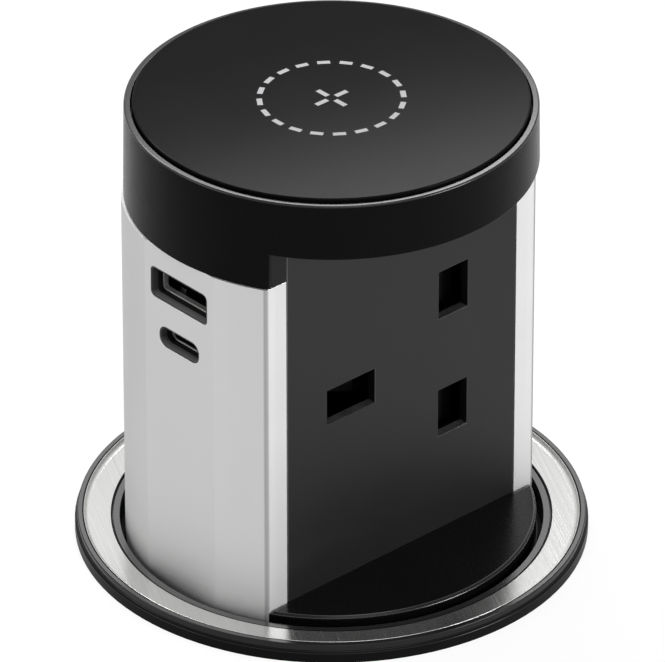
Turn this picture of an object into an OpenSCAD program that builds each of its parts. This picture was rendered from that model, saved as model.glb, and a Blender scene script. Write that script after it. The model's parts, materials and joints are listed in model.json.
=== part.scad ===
// Pop up desk socket: a sprung tower in a desk sleeve, shown raised.
// The origin is the centre of the flange's underside, on the desk top. +Z is up.
// The mains socket faces -Y.

/* [Tower] */
// Outer diameter of the aluminium shell
tower_d = 67.5; // [66:0.5:74]
// Wall of the aluminium shell
shell_wall = 1.6; // [1.2:0.1:2]
// Distance from the tower axis to the socket face
face_offset = 16.85; // [16:0.05:18]
// Width of the flat that carries the USB ports
usb_flat_w = 16.2; // [15.6:0.1:18]
// Depth of the shell's foot below the desk top
shell_dip = 1; // [0.6:0.1:1.4]
// Height of the front ledge above the desk top
ledge_z = 3.3; // [3:0.1:5]
// Inset of the ledge from the shell's outer radius
ledge_inset = 0.25; // [0.1:0.05:0.6]
// Height of the plug that locates the shell on the base
plug_h = 3.5; // [2.5:0.1:4]
// Inset of the tie screws from the shell's inner wall
tie_inset = 3.2; // [3:0.1:4]
// Diameter of the tie screws
tie_d = 3; // [2.5:0.1:3.2]

/* [Socket plate] */
// Width of the socket plate
plate_w = 50; // [46:0.5:51]
// Height of the socket plate
plate_h = 66.5; // [62:0.5:80]
// Thickness of the plate round the apertures
plate_t = 1.6; // [1.4:0.1:2.4]
// Thickness of the plate's rear flange
plate_back = 1.6; // [1.2:0.1:2]
// Lap of the rear flange behind the shell's front returns
plate_lap = 2.4; // [1:0.1:2.6]

/* [Mains socket] */
// Drop of the pin pattern below the plate's middle
socket_drop = 0.15; // [0:0.05:0.5]
// Pitch of the pins, across and along the pattern
pin_pitch = 22.23; // [22:0.01:22.5]
// Width and height of a line pin
line_pin = [4, 6.35]; // [3.9:0.05:6.4]
// Width and height of the earth pin
earth_pin = [8, 4]; // [3.9:0.05:8.1]
// Length of the line pins from the socket face
line_pin_l = 17.7; // [17:0.1:18]
// Length of the earth pin from the socket face
earth_pin_l = 22.7; // [22:0.1:23]
// Room added to a pin's width and height by its aperture
aperture_room = 2.4; // [2:0.05:2.6]
// Distance from the socket face to the shutter
shutter_depth = 4.8; // [4.6:0.1:5.4]
// Thickness of the shutter
shutter_t = 1.8; // [1.4:0.1:2]
// Travel of the shutter
shutter_travel = 6.4; // [6:0.1:6.6]
// Wall of the carrier behind the plate
carrier_wall = 1.6; // [1.2:0.1:1.8]
// Height of the carrier
carrier_h = 40; // [39:0.5:42]
// Thickness of a contact leaf
leaf_t = 0.8; // [0.6:0.1:1]

/* [USB ports] */
// Width and height of the USB-A slot in the shell
usb_a = [13.5, 5.6]; // [5.4:0.1:13.8]
// Drop from the collar's underside to the USB-A slot's centre
usb_a_drop = 6.85; // [6.5:0.05:8]
// Width and height of the USB-C slot in the shell
usb_c = [9.5, 3.8]; // [3.6:0.1:10]
// Drop from the USB-A slot's centre to the USB-C slot's centre
usb_c_drop = 9.2; // [8.5:0.1:10]
// Wall of the dark lining in each slot
liner_wall = 0.2; // [0.15:0.05:0.25]
// Distance from the USB flat to the ports' front edges
port_depth = 2.4; // [2.3:0.1:3]
// Length of the port shells
port_l = 9.9; // [9.4:0.1:10.1]
// Thickness of the circuit boards
board_t = 1.4; // [1:0.1:1.6]

/* [Cap] */
// Inset of the collar's foot from the shell's outer radius
cap_inset = 0.35; // [0.2:0.05:1]
// Draft of the side that the collar and the cap share, in degrees
cap_draft = 0.8; // [0:0.1:2]
// Height of the black collar under the cap
collar_h = 6.35; // [6:0.05:8]
// Wall of the collar
collar_wall = 2; // [1.6:0.1:2.4]
// Height of the cap from its underside to its rim
cap_h = 9.65; // [9.4:0.05:12]
// Thickness of the cap's floor
cap_floor = 1.5; // [1.2:0.1:1.7]
// Width of the cap's rim
rim_w = 1.1; // [1:0.05:2]
// Gap between the rim and the charging pad
pad_gap = 0.3; // [0.2:0.05:0.5]
// Height of the pad above the rim
pad_rise = 0.6; // [0.3:0.1:1]
// Thickness of the pad
pad_t = 2.6; // [2:0.1:2.8]
// Outer diameter of the charging coil
coil_d = 44; // [38:0.5:48]

/* [Bezel and sleeve] */
// Running gap between the tower and the bezel's lip
slide_gap = 0.9; // [0.6:0.05:1.2]
// Step from the lip out to the sleeve's bore, which stops the tower
stop_step = 1.35; // [1.2:0.05:2]
// Wall of the sleeve
sleeve_wall = 1.5; // [1.4:0.1:2.5]
// Lap of the flange beyond the sleeve
flange_lap = 4.5; // [4.2:0.1:8]
// Height of the flange's rim above the desk top
flange_h = 2; // [1.8:0.1:2.4]
// Thickness of the flange under the bezel
flange_floor = 1.1; // [1:0.05:1.3]
// Height of the bezel above the desk top
bezel_h = 3.1; // [2.9:0.1:3.6]
// Inset of the bezel from the flange's edge
bezel_inset = 0.4; // [0.2:0.05:0.6]
// Width of the bezel's outer land
bezel_land = 0.95; // [0.9:0.05:1.4]
// Width of the bezel's inner lip
lip_w = 1.1; // [0.9:0.05:1.6]
// Depth of the lip's top below the bezel's top
lip_sink = 1.05; // [0.8:0.05:1.2]
// Depth of the steel ring's top below the bezel's top
ring_sink = 0.9; // [0.6:0.05:1]
// Thickness of the steel ring
ring_t = 0.6; // [0.4:0.05:0.7]
// Depth of the bezel's spigot below the desk top
spigot_depth = 2.5; // [2:0.1:3]
// Thickness and width of the desk gasket
gasket = [0.5, 2.2]; // [0.4:0.1:2.4]

/* [Travel] */
// Travel below flush that trips the latch
overtravel = 2; // [1.5:0.1:2.4]
// Height of the stop bumper
bumper_t = 1.2; // [0.8:0.1:1.6]
// Height of the base's guide skirt
skirt_h = 14; // [13:0.5:18]
// Wall of the guide skirt
skirt_wall = 2.3; // [1.8:0.1:2.6]
// Thickness of the base plate below the stop shoulder
base_plate_t = 2.5; // [2.4:0.1:3.5]
// Room between the lowered tower and the bottom cover
floor_room = 7; // [6.5:0.1:9]
// Width and depth of the keys that stop the tower turning
key = [3.4, 0.7]; // [0.5:0.1:4]
// Thickness of the bottom cover
cover_t = 3; // [2.5:0.1:4]

/* [Clamp] */
// Thickness of the desk that is clamped
desk_t = 25; // [10:1:40]
// Lap of the clamp washer and nut beyond the sleeve
clamp_lap = 8.5; // [6:0.5:14]
// Thickness of the clamp washer
washer_t = 1.5; // [1:0.1:2.5]
// Height of the clamp nut
nut_h = 12; // [8:0.5:18]
// Number of finger flutes round the nut
flutes = 16; // [8:1:24]
// Radius of a finger flute
flute_r = 3; // [2:0.1:4]

/* [Lift spring and latch] */
// Mean diameter of the lift spring
spring_d = 53; // [51:0.5:56]
// Wire diameter of the lift spring
spring_wire = 1.6; // [1.2:0.1:2]
// Turns of the lift spring
spring_turns = 8; // [5:1:9]
// Distance from the tower axis to the latch pivot
latch_y = 15; // [14:0.1:16]
// Diameter of the latch pin and the striker's wire
latch_pin_d = 2.4; // [2:0.1:2.4]
// Width and thickness of the latch hook's shank
hook = [3, 3]; // [2.5:0.1:3.2]
// Height of the hook's nose
nose_h = 3.5; // [3:0.1:3.6]
// Angle of the hook when it is open
hook_open = 30; // [28:1:35]
// Distance from the base plate down to the striker's bar
striker_drop = 10; // [9.8:0.1:11]

/* [Cord entry] */
// Diameter of the bore for the cord
cord_bore = 9; // [7:0.5:9.5]
// Wall of the gland and the grommet round the bore
cord_wall = 1.8; // [1.4:0.1:2.2]

/* [Fits] */
// Gap round a piece that is seated in another
fit_gap = 0.1; // [0.05:0.05:0.15]
// Gap between pieces that slide past each other
running_gap = 0.3; // [0.2:0.05:0.35]
// Radial clearance of the latch hook on its pin
pin_gap = 0.05; // [0.03:0.01:0.1]
// Radial clearance of the clamp nut on the sleeve
thread_gap = 0.25; // [0.15:0.05:0.4]

/* [Hidden] */
$fn = 96;
cut = 1;
sliver = 0.01;

// Radii from the tower outwards
tower_r = tower_d / 2;
inner_r = tower_r - shell_wall;
ledge_r = tower_r - ledge_inset;
lip_r = tower_r + slide_gap;
bore_r = lip_r + stop_step;
sleeve_r = bore_r + sleeve_wall;
flange_r = sleeve_r + flange_lap;
clamp_r = sleeve_r + clamp_lap;
bezel_r = flange_r - bezel_inset;
recess_in_r = lip_r + lip_w;
recess_out_r = bezel_r - bezel_land;
bezel_foot = 0.4;
seat_r = bezel_r - bezel_foot;
skirt_gap = 0.45;
skirt_r = bore_r - skirt_gap;
tie_r = inner_r - tie_inset;

// Heights of the fixed parts
ring_z = bezel_h - ring_sink;
lip_z = bezel_h - lip_sink;
ring_floor = ring_z - ring_t;
gasket_r = (sleeve_r + flange_r - gasket[1]) / 2;
flute_depth = 1.5;
flute_stop = 3;

// Heights of the tower, raised
shell_bottom = -shell_dip;
plug_top = shell_bottom + plug_h;
plate_top = ledge_z + plate_h;
socket_z = ledge_z + plate_h / 2 - socket_drop;
shell_top = plate_top - collar_h;
rim_z = plate_top + cap_h;
cap_r = cap_side_r(rim_z);
pad_z = rim_z + pad_rise;
pad_bottom = pad_z - pad_t;
floor_top = plate_top + cap_floor;
shoulder_z = -spigot_depth - running_gap - bumper_t;
skirt_bottom = shoulder_z - skirt_h;
plate_under = shoulder_z - base_plate_t;
guide_drop = 2.8;
guide_h = 3;
guide_top = shoulder_z - guide_drop;
key_rise = 1;
key_h = 6;

// The tower's travel sets the depth of the sleeve
latched_drop = pad_z - bezel_h;
travel = latched_drop + overtravel;
cover_top = skirt_bottom - travel - floor_room;
cover_bottom = cover_top - cover_t;

// Faces of the tower
face_y = -face_offset;
flat_x = -sqrt(pow(tower_r, 2) - pow(usb_flat_w / 2, 2));
flat_back = flat_x + shell_wall;
return_back = face_y + shell_wall;
plate_rear = return_back + fit_gap + plate_back;

// Mains socket, behind the plate
line_x = pin_pitch / 2;
earth_x = -pin_pitch / 2;
line_hole = line_pin + [aperture_room, aperture_room];
earth_hole = earth_pin + [aperture_room, aperture_room];
shutter_y = face_y + shutter_depth;
shutter_back = shutter_y + shutter_t;
carrier_front = plate_rear + fit_gap;
terminal_l = 4;
carrier_inner = face_y + earth_pin_l + terminal_l;
carrier_back = carrier_inner + carrier_wall;
shutter_side_room = 3;
earth_side_room = 2;
carrier_right = line_x + line_hole[0] / 2 + shutter_travel + shutter_side_room;
carrier_left = earth_x - earth_hole[0] / 2 - earth_side_room;
aperture_relief = 1.4;
face_skin = 0.8;

// Shutter: laps of its flaps, its spine, and the wedge that the earth pin drives
flap_lap = [0.8, 1.2];
flap = line_hole + 2 * flap_lap;
flap_left = line_x - flap[0] / 2;
spine_w = 3;
wedge_gap = 0.6;
wedge_w = 2;
wedge_l = 4;
wedge_h = 6;
wedge_room = 1;
behind_wedge = shutter_back + wedge_l + wedge_room;
spring_stop = [3.2, 4];

// Contacts and their terminals
terminal_screw_d = 3;
terminal_head_d = 5.4;
terminal_head_t = 2;
terminal_block = 7;
contact_gap = 0.1;
line_leaf_inset = 1;
earth_leaf_inset = 1.5;
line_contact_room = 2.5;
tip_room = 1;

// Screws that hold one plastic piece to another
small_screw_d = 2.4;
small_head_d = 5;
small_head_t = 1.6;
tie_head_d = 5.6;
tie_head_t = 2.2;
screw_tip_room = 1;
tie_tip = plate_top - screw_tip_room;
tie_angles = [-20, 60, 120, 200];
cap_screw_r = 24;
cap_screw_angles = [-12, 60, 120, 192];
boss_r = 3;
bottom_boss_r = bore_r - boss_r;
boss_room = 2;
bottom_boss_h = floor_room - boss_room;
bottom_screw_angles = [45, 135, 225, 315];
carrier_lug = [8, 3, 6];
lug_lap = 0.5;
lug_z = (carrier_h + carrier_lug[2]) / 2;

// USB module
usb_a_z = shell_top - usb_a_drop;
usb_c_z = usb_a_z - usb_c_drop;
slot_corner_a = 1;
slot_corner_c = 1.7;
port_wall = 0.3;
port_room = 0.2;
port_x = flat_x + port_depth;
board_x = port_x + port_l;
liner_x = flat_back + fit_gap;
liner_t = 1.2;
liner_web = 0.4;
liner_w = 2 * sqrt(pow(inner_r, 2) - pow(flat_back, 2));
shelf_t = 1.2;
liner_below = 4;
liner_above = 2;
shelf_low = usb_c_z - usb_c[1] / 2 - liner_below;
shelf_high = usb_a_z + usb_a[1] / 2 + liner_above;
tongue_sink = 1;
tongue_corner = 0.2;
tongue_a = [usb_a[0] - 2.4, 1.8];
tongue_a_lift = 1.2;
tongue_c = [usb_c[0] - 2.8, 0.7];

// Boards and their parts
wire_room = 2.6;
power_y = carrier_back + terminal_head_t + wire_room;
power_board_w = 40;
power_board_h = 54;
post = [5, 4.4, 9];
part_gap = 0.1;
transformer_size = [18, 10, 20];
capacitor_d = 9;
capacitor_l = 10;
capacitor_gap = 1.8;
capacitor_rise = 4.5;
charge_board_d = 40;
shield = [14, 14, 2.4];
ferrite_d = 50;
ferrite_t = 0.8;
coil_t = 1.2;
coil_hole_d = 20;
collar_top_t = 2;
collar_hole_d = 28;
pad_shelf_w = 2;
cap_wire_hole_d = 8;

// Latch, worked out from where the striker's bar stops
bar_r = latch_pin_d / 2;
bar_gap = 0.4;
bar_y = latch_y + hook[0] / 2 + bar_gap + bar_r;
bar_z = plate_under - striker_drop;
nose_z = bar_z - latched_drop + bar_r + running_gap;
nose_l = hook[0] / 2 + bar_gap + 2 * bar_r;
hub_r = latch_pin_d;
bracket_t = 1.5;
hub_room = 0.6;
pivot_z = cover_top + bracket_t + hub_r + hub_room;
cheek_gap = hook[1] / 2 + running_gap;
cheek_t = 1.5;
leg_gap = 0.5;
leg_x = cheek_gap + cheek_t + leg_gap + bar_r;
bracket_foot = [3, 5, 6];
striker_foot = [2, 3];
striker_foot_t = 1.5;

// Cord entry
cord_r = cord_bore / 2;
gland_r = cord_r + cord_wall / 2;
gland_lap = 0.7;
gland_flange_r = cord_r + cord_wall + gland_lap;
gland_flange_t = 2.5;
gland_nut_h = 4;
gland_nut_wall = 2.4;
gland_nut_r = gland_r + gland_nut_wall;
gland_stand = 1;
gland_top = plug_top + gland_nut_h + gland_stand;
grommet_r = cord_r + cord_wall;
grommet_flange_r = grommet_r + cord_wall;
grommet_flange_t = 1.2;

// Wound springs: rings in each turn, sides of the wire and the gap at each seat
spring_rings = 24;
small_spring_rings = 8;
wire_sides = 6;
spring_seat_gap = 0.15;
shutter_wire = 0.4;
shutter_spring_r = 1.4;
shutter_spring_turns = 9;

function helix_point(t, turns, radius, length) =
    [radius * cos(360 * turns * t), radius * sin(360 * turns * t), length * t];

function wire_ring(t, turns, radius, length, wire) =
    let (
        turn = 360 * turns * t,
        slope = atan2(length, 2 * PI * radius * turns),
        out = [cos(turn), sin(turn), 0],
        up = [sin(turn) * sin(slope), -cos(turn) * sin(slope), cos(slope)],
        centre = helix_point(t, turns, radius, length)
    )
    [for (k = [0 : wire_sides - 1])
        centre + wire / 2 * (cos(360 * k / wire_sides) * out + sin(360 * k / wire_sides) * up)];

// Least gap between points of the wire that are at least half a turn apart
function least_gap(turns, rings, radius, length, wire) =
    let (count = turns * rings)
    min([for (i = [0 : count]) for (j = [i + rings / 2 : count])
        norm(helix_point(i / count, turns, radius, length) - helix_point(j / count, turns, radius, length))])
    - wire;

// One unbroken wire wound about +Z, its end faces level with 0 and length
module wound_wire(turns, rings, radius, length, wire) {
    count = turns * rings;
    run = length - wire;
    points = [for (i = [0 : count]) each wire_ring(i / count, turns, radius, run, wire)];
    sides = [for (i = [0 : count - 1]) for (k = [0 : wire_sides - 1])
        let (a = i * wire_sides + k, b = i * wire_sides + (k + 1) % wire_sides)
        each [[a, a + wire_sides, b], [b, a + wire_sides, b + wire_sides]]];
    start_cap = [for (k = [1 : wire_sides - 2]) [0, k, k + 1]];
    last = count * wire_sides;
    end_cap = [for (k = [1 : wire_sides - 2]) [last, last + k + 1, last + k]];
    translate([0, 0, wire / 2])
        polyhedron(points, concat(start_cap, sides, end_cap));
}

// Ring between two heights
module ring(r_out, r_in, z0, z1) {
    difference() {
        translate([0, 0, z0])
            cylinder(r = r_out, h = z1 - z0);
        translate([0, 0, z0 - cut])
            cylinder(r = r_in, h = z1 - z0 + 2 * cut);
    }
}

// Disc between two heights
module disc(r, z0, z1) {
    translate([0, 0, z0])
        cylinder(r = r, h = z1 - z0);
}

// Radius of the side that the collar and the cap share, at a height
function cap_side_r(z) = tower_r - cap_inset - (z - shell_top) * tan(cap_draft);

// Solid inside that side, between two heights
module cap_side(z0, z1) {
    translate([0, 0, z0])
        cylinder(r1 = cap_side_r(z0), r2 = cap_side_r(z1), h = z1 - z0);
}

// Box between two corners
module box(low, high) {
    translate(low)
        cube(high - low);
}

// Round prism with the socket face cut off at front and the USB flat at left
module tower_prism(r, front, left, z0, z1) {
    intersection() {
        disc(r, z0, z1);
        box([left, front, z0 - cut], [2 * r, 2 * r, z1 + cut]);
    }
}

// Rectangle with round corners, centred
module round_rect(size, corner) {
    r = min(corner, min(size) / 2 - sliver);
    square([size[0] - 2 * r, size[1]], center = true);
    square([size[0], size[1] - 2 * r], center = true);
    for (x = [-1, 1], y = [-1, 1])
        translate([x * (size[0] / 2 - r), y * (size[1] / 2 - r)])
            circle(r = r);
}

// Prism with a rounded section in Y and Z, from x0 to x1
module side_prism(size, corner, z, x0, x1) {
    translate([x0, 0, z])
        rotate([90, 0, 90])
            linear_extrude(x1 - x0)
                round_rect(size, corner);
}

// Cylinder along Y from y0 to y1
module along_y(r, x, z, y0, y1) {
    translate([x, y0, z])
        rotate([-90, 0, 0])
            cylinder(r = r, h = y1 - y0);
}

// Cylinder along X, centred
module along_x(r, y, z, length) {
    translate([-length / 2, y, z])
        rotate([0, 90, 0])
            cylinder(r = r, h = length);
}

// Places children at angles on a circle
module at_angles(angles, r) {
    for (angle = angles)
        rotate(angle)
            translate([r, 0, 0])
                children();
}

// Screw pointing up or down, its head's seat at z
module screw(d, head_d, head_t, z, tip) {
    down = tip < z;
    disc(head_d / 2, down ? z : z - head_t, down ? z + head_t : z);
    disc(d / 2, min(tip, z), max(tip, z));
}

module bezel() {
    color("#26272a")
        rotate_extrude()
            polygon([
                [lip_r, -spigot_depth], [lip_r, lip_z], [recess_in_r, lip_z], [recess_in_r, ring_floor],
                [recess_out_r, ring_floor], [recess_out_r, bezel_h], [bezel_r, bezel_h], [bezel_r, flange_h],
                [seat_r - fit_gap, flange_h], [seat_r - fit_gap, flange_floor],
                [bore_r - fit_gap, flange_floor], [bore_r - fit_gap, -spigot_depth]
            ]);
}

module steel_ring() {
    color("#c3c5c6")
        ring(recess_out_r - fit_gap, recess_in_r + fit_gap, ring_floor, ring_z);
}

module sleeve_body() {
    groove_out = gasket_r + gasket[1] + fit_gap;
    groove_in = gasket_r - fit_gap;
    rotate_extrude()
        polygon([
            [bore_r, cover_top], [bore_r, flange_floor], [seat_r, flange_floor], [seat_r, flange_h],
            [flange_r, flange_h], [flange_r, 0], [groove_out, 0], [groove_out, gasket[0]],
            [groove_in, gasket[0]], [groove_in, 0], [sleeve_r, 0], [sleeve_r, cover_top]
        ]);
    intersection() {
        at_angles(bottom_screw_angles, bottom_boss_r)
            disc(boss_r, cover_top, cover_top + bottom_boss_h);
        disc(bore_r + sleeve_wall / 2, cover_top, cover_top + bottom_boss_h);
    }
}

module sleeve() {
    groove_w = key[0] + 2 * running_gap;
    color("#1d1e20")
        difference() {
            sleeve_body();
            for (side = [0, 180])
                rotate(side)
                    box(
                        [0, -groove_w / 2, cover_top - cut],
                        [bore_r + key[1], groove_w / 2, flange_floor + cut]
                    );
            at_angles(bottom_screw_angles, bottom_boss_r)
                disc(small_screw_d / 2 + fit_gap, cover_top - cut, cover_top + bottom_boss_h + cut);
        }
}

module desk_gasket() {
    color("#111111")
        ring(gasket_r + gasket[1], gasket_r, 0, gasket[0]);
}

module clamp_washer() {
    color("#b9bbbd")
        ring(clamp_r, sleeve_r + thread_gap, -desk_t - washer_t, -desk_t);
}

module clamp_nut() {
    top = -desk_t - washer_t - fit_gap;
    color("#232427")
        difference() {
            ring(clamp_r, sleeve_r + thread_gap, top - nut_h, top);
            at_angles([for (i = [0 : flutes - 1]) 360 * i / flutes], clamp_r + flute_r - flute_depth)
                disc(flute_r, top - nut_h - cut, top - flute_stop);
        }
}

module bottom_cover() {
    color("#1d1e20")
        difference() {
            disc(sleeve_r, cover_bottom, cover_top);
            disc(grommet_r + fit_gap, cover_bottom - cut, cover_top + cut);
            at_angles(bottom_screw_angles, bottom_boss_r)
                disc(small_screw_d / 2 + fit_gap, cover_bottom - cut, cover_top + cut);
        }
}

module bottom_screws() {
    tip = cover_top + bottom_boss_h - screw_tip_room;
    color("#8d8f91")
        at_angles(bottom_screw_angles, bottom_boss_r)
            screw(small_screw_d, small_head_d, small_head_t, cover_bottom, tip);
}

module cord_grommet() {
    low = cover_bottom - grommet_flange_t;
    high = cover_top + grommet_flange_t;
    color("#161616")
        rotate_extrude()
            polygon([
                [cord_r, low], [grommet_flange_r, low], [grommet_flange_r, cover_bottom],
                [grommet_r, cover_bottom], [grommet_r, cover_top], [grommet_flange_r, cover_top],
                [grommet_flange_r, high], [cord_r, high]
            ]);
}

module lift_spring() {
    length = plate_under - cover_top - 2 * spring_seat_gap;
    run = length - spring_wire;
    echo(lift_spring_gap = least_gap(spring_turns, spring_rings, spring_d / 2, run, spring_wire));
    color("#a9abad")
        translate([0, 0, cover_top + spring_seat_gap])
            wound_wire(spring_turns, spring_rings, spring_d / 2, length, spring_wire);
}

module latch_bracket() {
    width = 2 * (cheek_gap + cheek_t);
    cheek_top = pivot_z + hub_r;
    color("#9a9c9e")
        difference() {
            union() {
                box(
                    [-width / 2 - bracket_foot[0], latch_y - bracket_foot[1], cover_top],
                    [width / 2 + bracket_foot[0], latch_y + bracket_foot[2], cover_top + bracket_t]
                );
                for (side = [0, 1])
                    mirror([side, 0, 0])
                        box([cheek_gap, latch_y - hub_r, cover_top], [width / 2, latch_y + hub_r, cheek_top]);
            }
            along_x(bar_r + pin_gap, latch_y, pivot_z, width + 2 * cut);
        }
}

module latch_pin() {
    color("#c9cbcd")
        along_x(bar_r, latch_y, pivot_z, 2 * (cheek_gap + cheek_t - fit_gap));
}

// Hook drawn upright about its pivot, its nose towards +Y
module hook_outline() {
    reach = nose_z - pivot_z;
    circle(r = hub_r);
    translate([-hook[0] / 2, 0])
        square([hook[0], reach + nose_h]);
    translate([-hook[0] / 2, reach])
        square([hook[0] / 2 + nose_l, nose_h]);
}

module latch_hook() {
    color("#d8d4c8")
        translate([-hook[1] / 2, latch_y, pivot_z])
            rotate([hook_open, 0, 0])
                rotate([90, 0, 90])
                    linear_extrude(hook[1])
                        difference() {
                            hook_outline();
                            circle(r = bar_r + pin_gap);
                        }
}

module latch_striker() {
    foot = plate_under - striker_foot_t;
    color("#c0c2c4")
        union() {
            box(
                [-leg_x - striker_foot[0], bar_y - striker_foot[1], foot],
                [leg_x + striker_foot[0], bar_y + striker_foot[0], plate_under]
            );
            along_x(bar_r, bar_y, bar_z, 2 * leg_x);
            for (side = [-1, 1])
                translate([side * leg_x, bar_y, 0]) {
                    disc(bar_r, bar_z, foot);
                    translate([0, 0, bar_z])
                        sphere(r = bar_r);
                }
        }
}

module base_ledge() {
    wing = plate_w / 2 - fit_gap;
    intersection() {
        disc(ledge_r, shell_bottom, ledge_z);
        union() {
            box([-tower_r, -tower_r, shell_bottom - cut], [tower_r, face_y - fit_gap, ledge_z + cut]);
            box([-wing, -tower_r, shell_bottom - cut], [wing, plate_rear, ledge_z + cut]);
        }
    }
}

module base_posts() {
    for (side = [0, 1])
        mirror([side, 0, 0])
            box(
                [power_board_w / 2 - post[0] / 2, power_y - (post[1] - board_t) / 2, plug_top - cut],
                [power_board_w / 2 + post[0] / 2, power_y + (post[1] + board_t) / 2, plug_top + post[2]]
            );
}

module base_body() {
    plug_r = inner_r - fit_gap;
    disc(skirt_r, skirt_bottom, shoulder_z);
    disc(tower_r, shoulder_z, shell_bottom);
    tower_prism(plug_r, return_back + fit_gap, flat_back + fit_gap, shell_bottom, plug_top);
    base_ledge();
    base_posts();
    for (side = [0, 180])
        rotate(side)
            box(
                [skirt_r - skirt_wall / 2, -key[0] / 2, skirt_bottom + key_rise],
                [bore_r + key[1] - running_gap, key[0] / 2, skirt_bottom + key_rise + key_h]
            );
}

module tower_base() {
    color("#1f2022")
        difference() {
            base_body();
            disc(skirt_r - skirt_wall, skirt_bottom - cut, plate_under);
            ring(skirt_r + cut, skirt_r - skirt_wall / 2, guide_top - guide_h, guide_top);
            disc(gland_r + fit_gap, plate_under - cut, plug_top + cut);
            at_angles(tie_angles, tie_r) {
                disc(tie_d / 2 + fit_gap, plate_under - cut, plug_top + cut);
                disc(tie_head_d / 2 + fit_gap, plate_under - cut, plate_under + tie_head_t);
            }
            box(
                [-power_board_w / 2 - fit_gap, power_y - fit_gap, plug_top],
                [power_board_w / 2 + fit_gap, power_y + board_t + fit_gap, plug_top + post[2] + cut]
            );
        }
}

module guide_ring() {
    color("#d9d9d4")
        ring(
            bore_r - running_gap, skirt_r - skirt_wall / 2 + fit_gap,
            guide_top - guide_h + fit_gap, guide_top - fit_gap
        );
}

module stop_bumper() {
    color("#101010")
        ring(skirt_r, tower_r + fit_gap, shoulder_z, shoulder_z + bumper_t);
}

module tie_screws() {
    color("#a4a6a8")
        at_angles(tie_angles, tie_r)
            screw(tie_d, tie_head_d, tie_head_t, plate_under + tie_head_t, tie_tip);
}

module cord_gland() {
    color("#1a1a1a")
        difference() {
            union() {
                disc(gland_flange_r, plate_under - gland_flange_t, plate_under);
                disc(gland_r, plate_under - cut / 2, gland_top);
            }
            disc(cord_r, plate_under - gland_flange_t - cut, gland_top + cut);
        }
}

module gland_nut() {
    color("#222222")
        difference() {
            translate([0, 0, plug_top])
                cylinder(r = gland_nut_r, h = gland_nut_h, $fn = 6);
            disc(gland_r + fit_gap, plug_top - cut, plug_top + gland_nut_h + cut);
        }
}

module tower_shell() {
    color("#c6c8ca")
        difference() {
            tower_prism(tower_r, face_y, flat_x, shell_bottom, shell_top);
            tower_prism(inner_r, return_back, flat_back, shell_bottom - cut, shell_top + cut);
            box(
                [-plate_w / 2, face_y - cut, shell_bottom - cut],
                [plate_w / 2, return_back + cut, shell_top + cut]
            );
            side_prism(usb_a, slot_corner_a, usb_a_z, flat_x - cut, flat_back + cut);
            side_prism(usb_c, slot_corner_c, usb_c_z, flat_x - cut, flat_back + cut);
        }
}

// A pin aperture, cut through the plate and widened behind its front wall
module aperture(size, x, z) {
    half = [size[0] / 2, size[1] / 2];
    back = half + [aperture_relief, aperture_relief];
    box([x - half[0], face_y - cut, z - half[1]], [x + half[0], plate_rear + cut, z + half[1]]);
    box(
        [x - back[0], face_y + plate_t, z - back[1]],
        [x + back[0], plate_rear + cut, z + back[1]]
    );
}

module socket_plate() {
    half = plate_w / 2 - fit_gap;
    back_half = plate_w / 2 + plate_lap;
    back_top = shell_top - fit_gap;
    color("#2b2c2e")
        difference() {
            union() {
                box([-half, face_y, ledge_z], [half, plate_rear, plate_top]);
                intersection() {
                    box([-back_half, plate_rear - plate_back, ledge_z], [back_half, plate_rear, back_top]);
                    disc(inner_r - fit_gap, ledge_z - cut, back_top + cut);
                }
            }
            aperture(earth_hole, earth_x, socket_z);
            for (side = [-1, 1])
                aperture(line_hole, line_x, socket_z + side * line_x);
            for (side = [-1, 1])
                along_y(
                    small_screw_d / 2 + fit_gap, 0, socket_z + side * lug_z,
                    face_y + face_skin, plate_rear + cut
                );
        }
}

module carrier_lugs() {
    for (side = [-1, 1])
        translate([0, 0, socket_z + side * lug_z])
            box([-carrier_lug[0] / 2, carrier_front, -carrier_lug[2] / 2 - lug_lap],
                [carrier_lug[0] / 2, carrier_front + carrier_lug[1], carrier_lug[2] / 2 + lug_lap]);
}

module carrier_walls() {
    divider_x = earth_x + earth_pin[0] / 2 + shutter_travel + shutter_side_room;
    half = carrier_h / 2;
    inner_half = half - carrier_wall;
    difference() {
        box([carrier_left, carrier_front, socket_z - half], [carrier_right, carrier_back, socket_z + half]);
        box(
            [carrier_left + carrier_wall, carrier_front - cut, socket_z - inner_half],
            [carrier_right - carrier_wall, carrier_inner, socket_z + inner_half]
        );
    }
    box(
        [divider_x, behind_wedge, socket_z - half],
        [divider_x + carrier_wall, carrier_back, socket_z + half]
    );
    box(
        [divider_x, behind_wedge, socket_z - carrier_wall / 2],
        [carrier_right, carrier_back, socket_z + carrier_wall / 2]
    );
}

module terminal_places() {
    for (place = [[earth_x, 0], [line_x, line_x], [line_x, -line_x]])
        translate([place[0], 0, socket_z + place[1]])
            children();
}

module socket_carrier() {
    color("#e6e4de")
        difference() {
            union() {
                carrier_walls();
                carrier_lugs();
            }
            terminal_places()
                along_y(terminal_screw_d / 2 + 2 * fit_gap, 0, 0, carrier_inner - cut, carrier_back + cut);
            for (side = [-1, 1])
                along_y(
                    small_screw_d / 2 + fit_gap, 0, socket_z + side * lug_z,
                    carrier_front - cut, carrier_front + carrier_lug[1] + cut
                );
        }
}

module carrier_screws() {
    seat = carrier_front + carrier_lug[1];
    color("#a4a6a8")
        for (side = [-1, 1])
            translate([0, 0, socket_z + side * lug_z]) {
                along_y(small_head_d / 2, 0, 0, seat, seat + small_head_t);
                along_y(small_screw_d / 2, 0, 0, plate_rear - plate_back, seat);
            }
}

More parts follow.
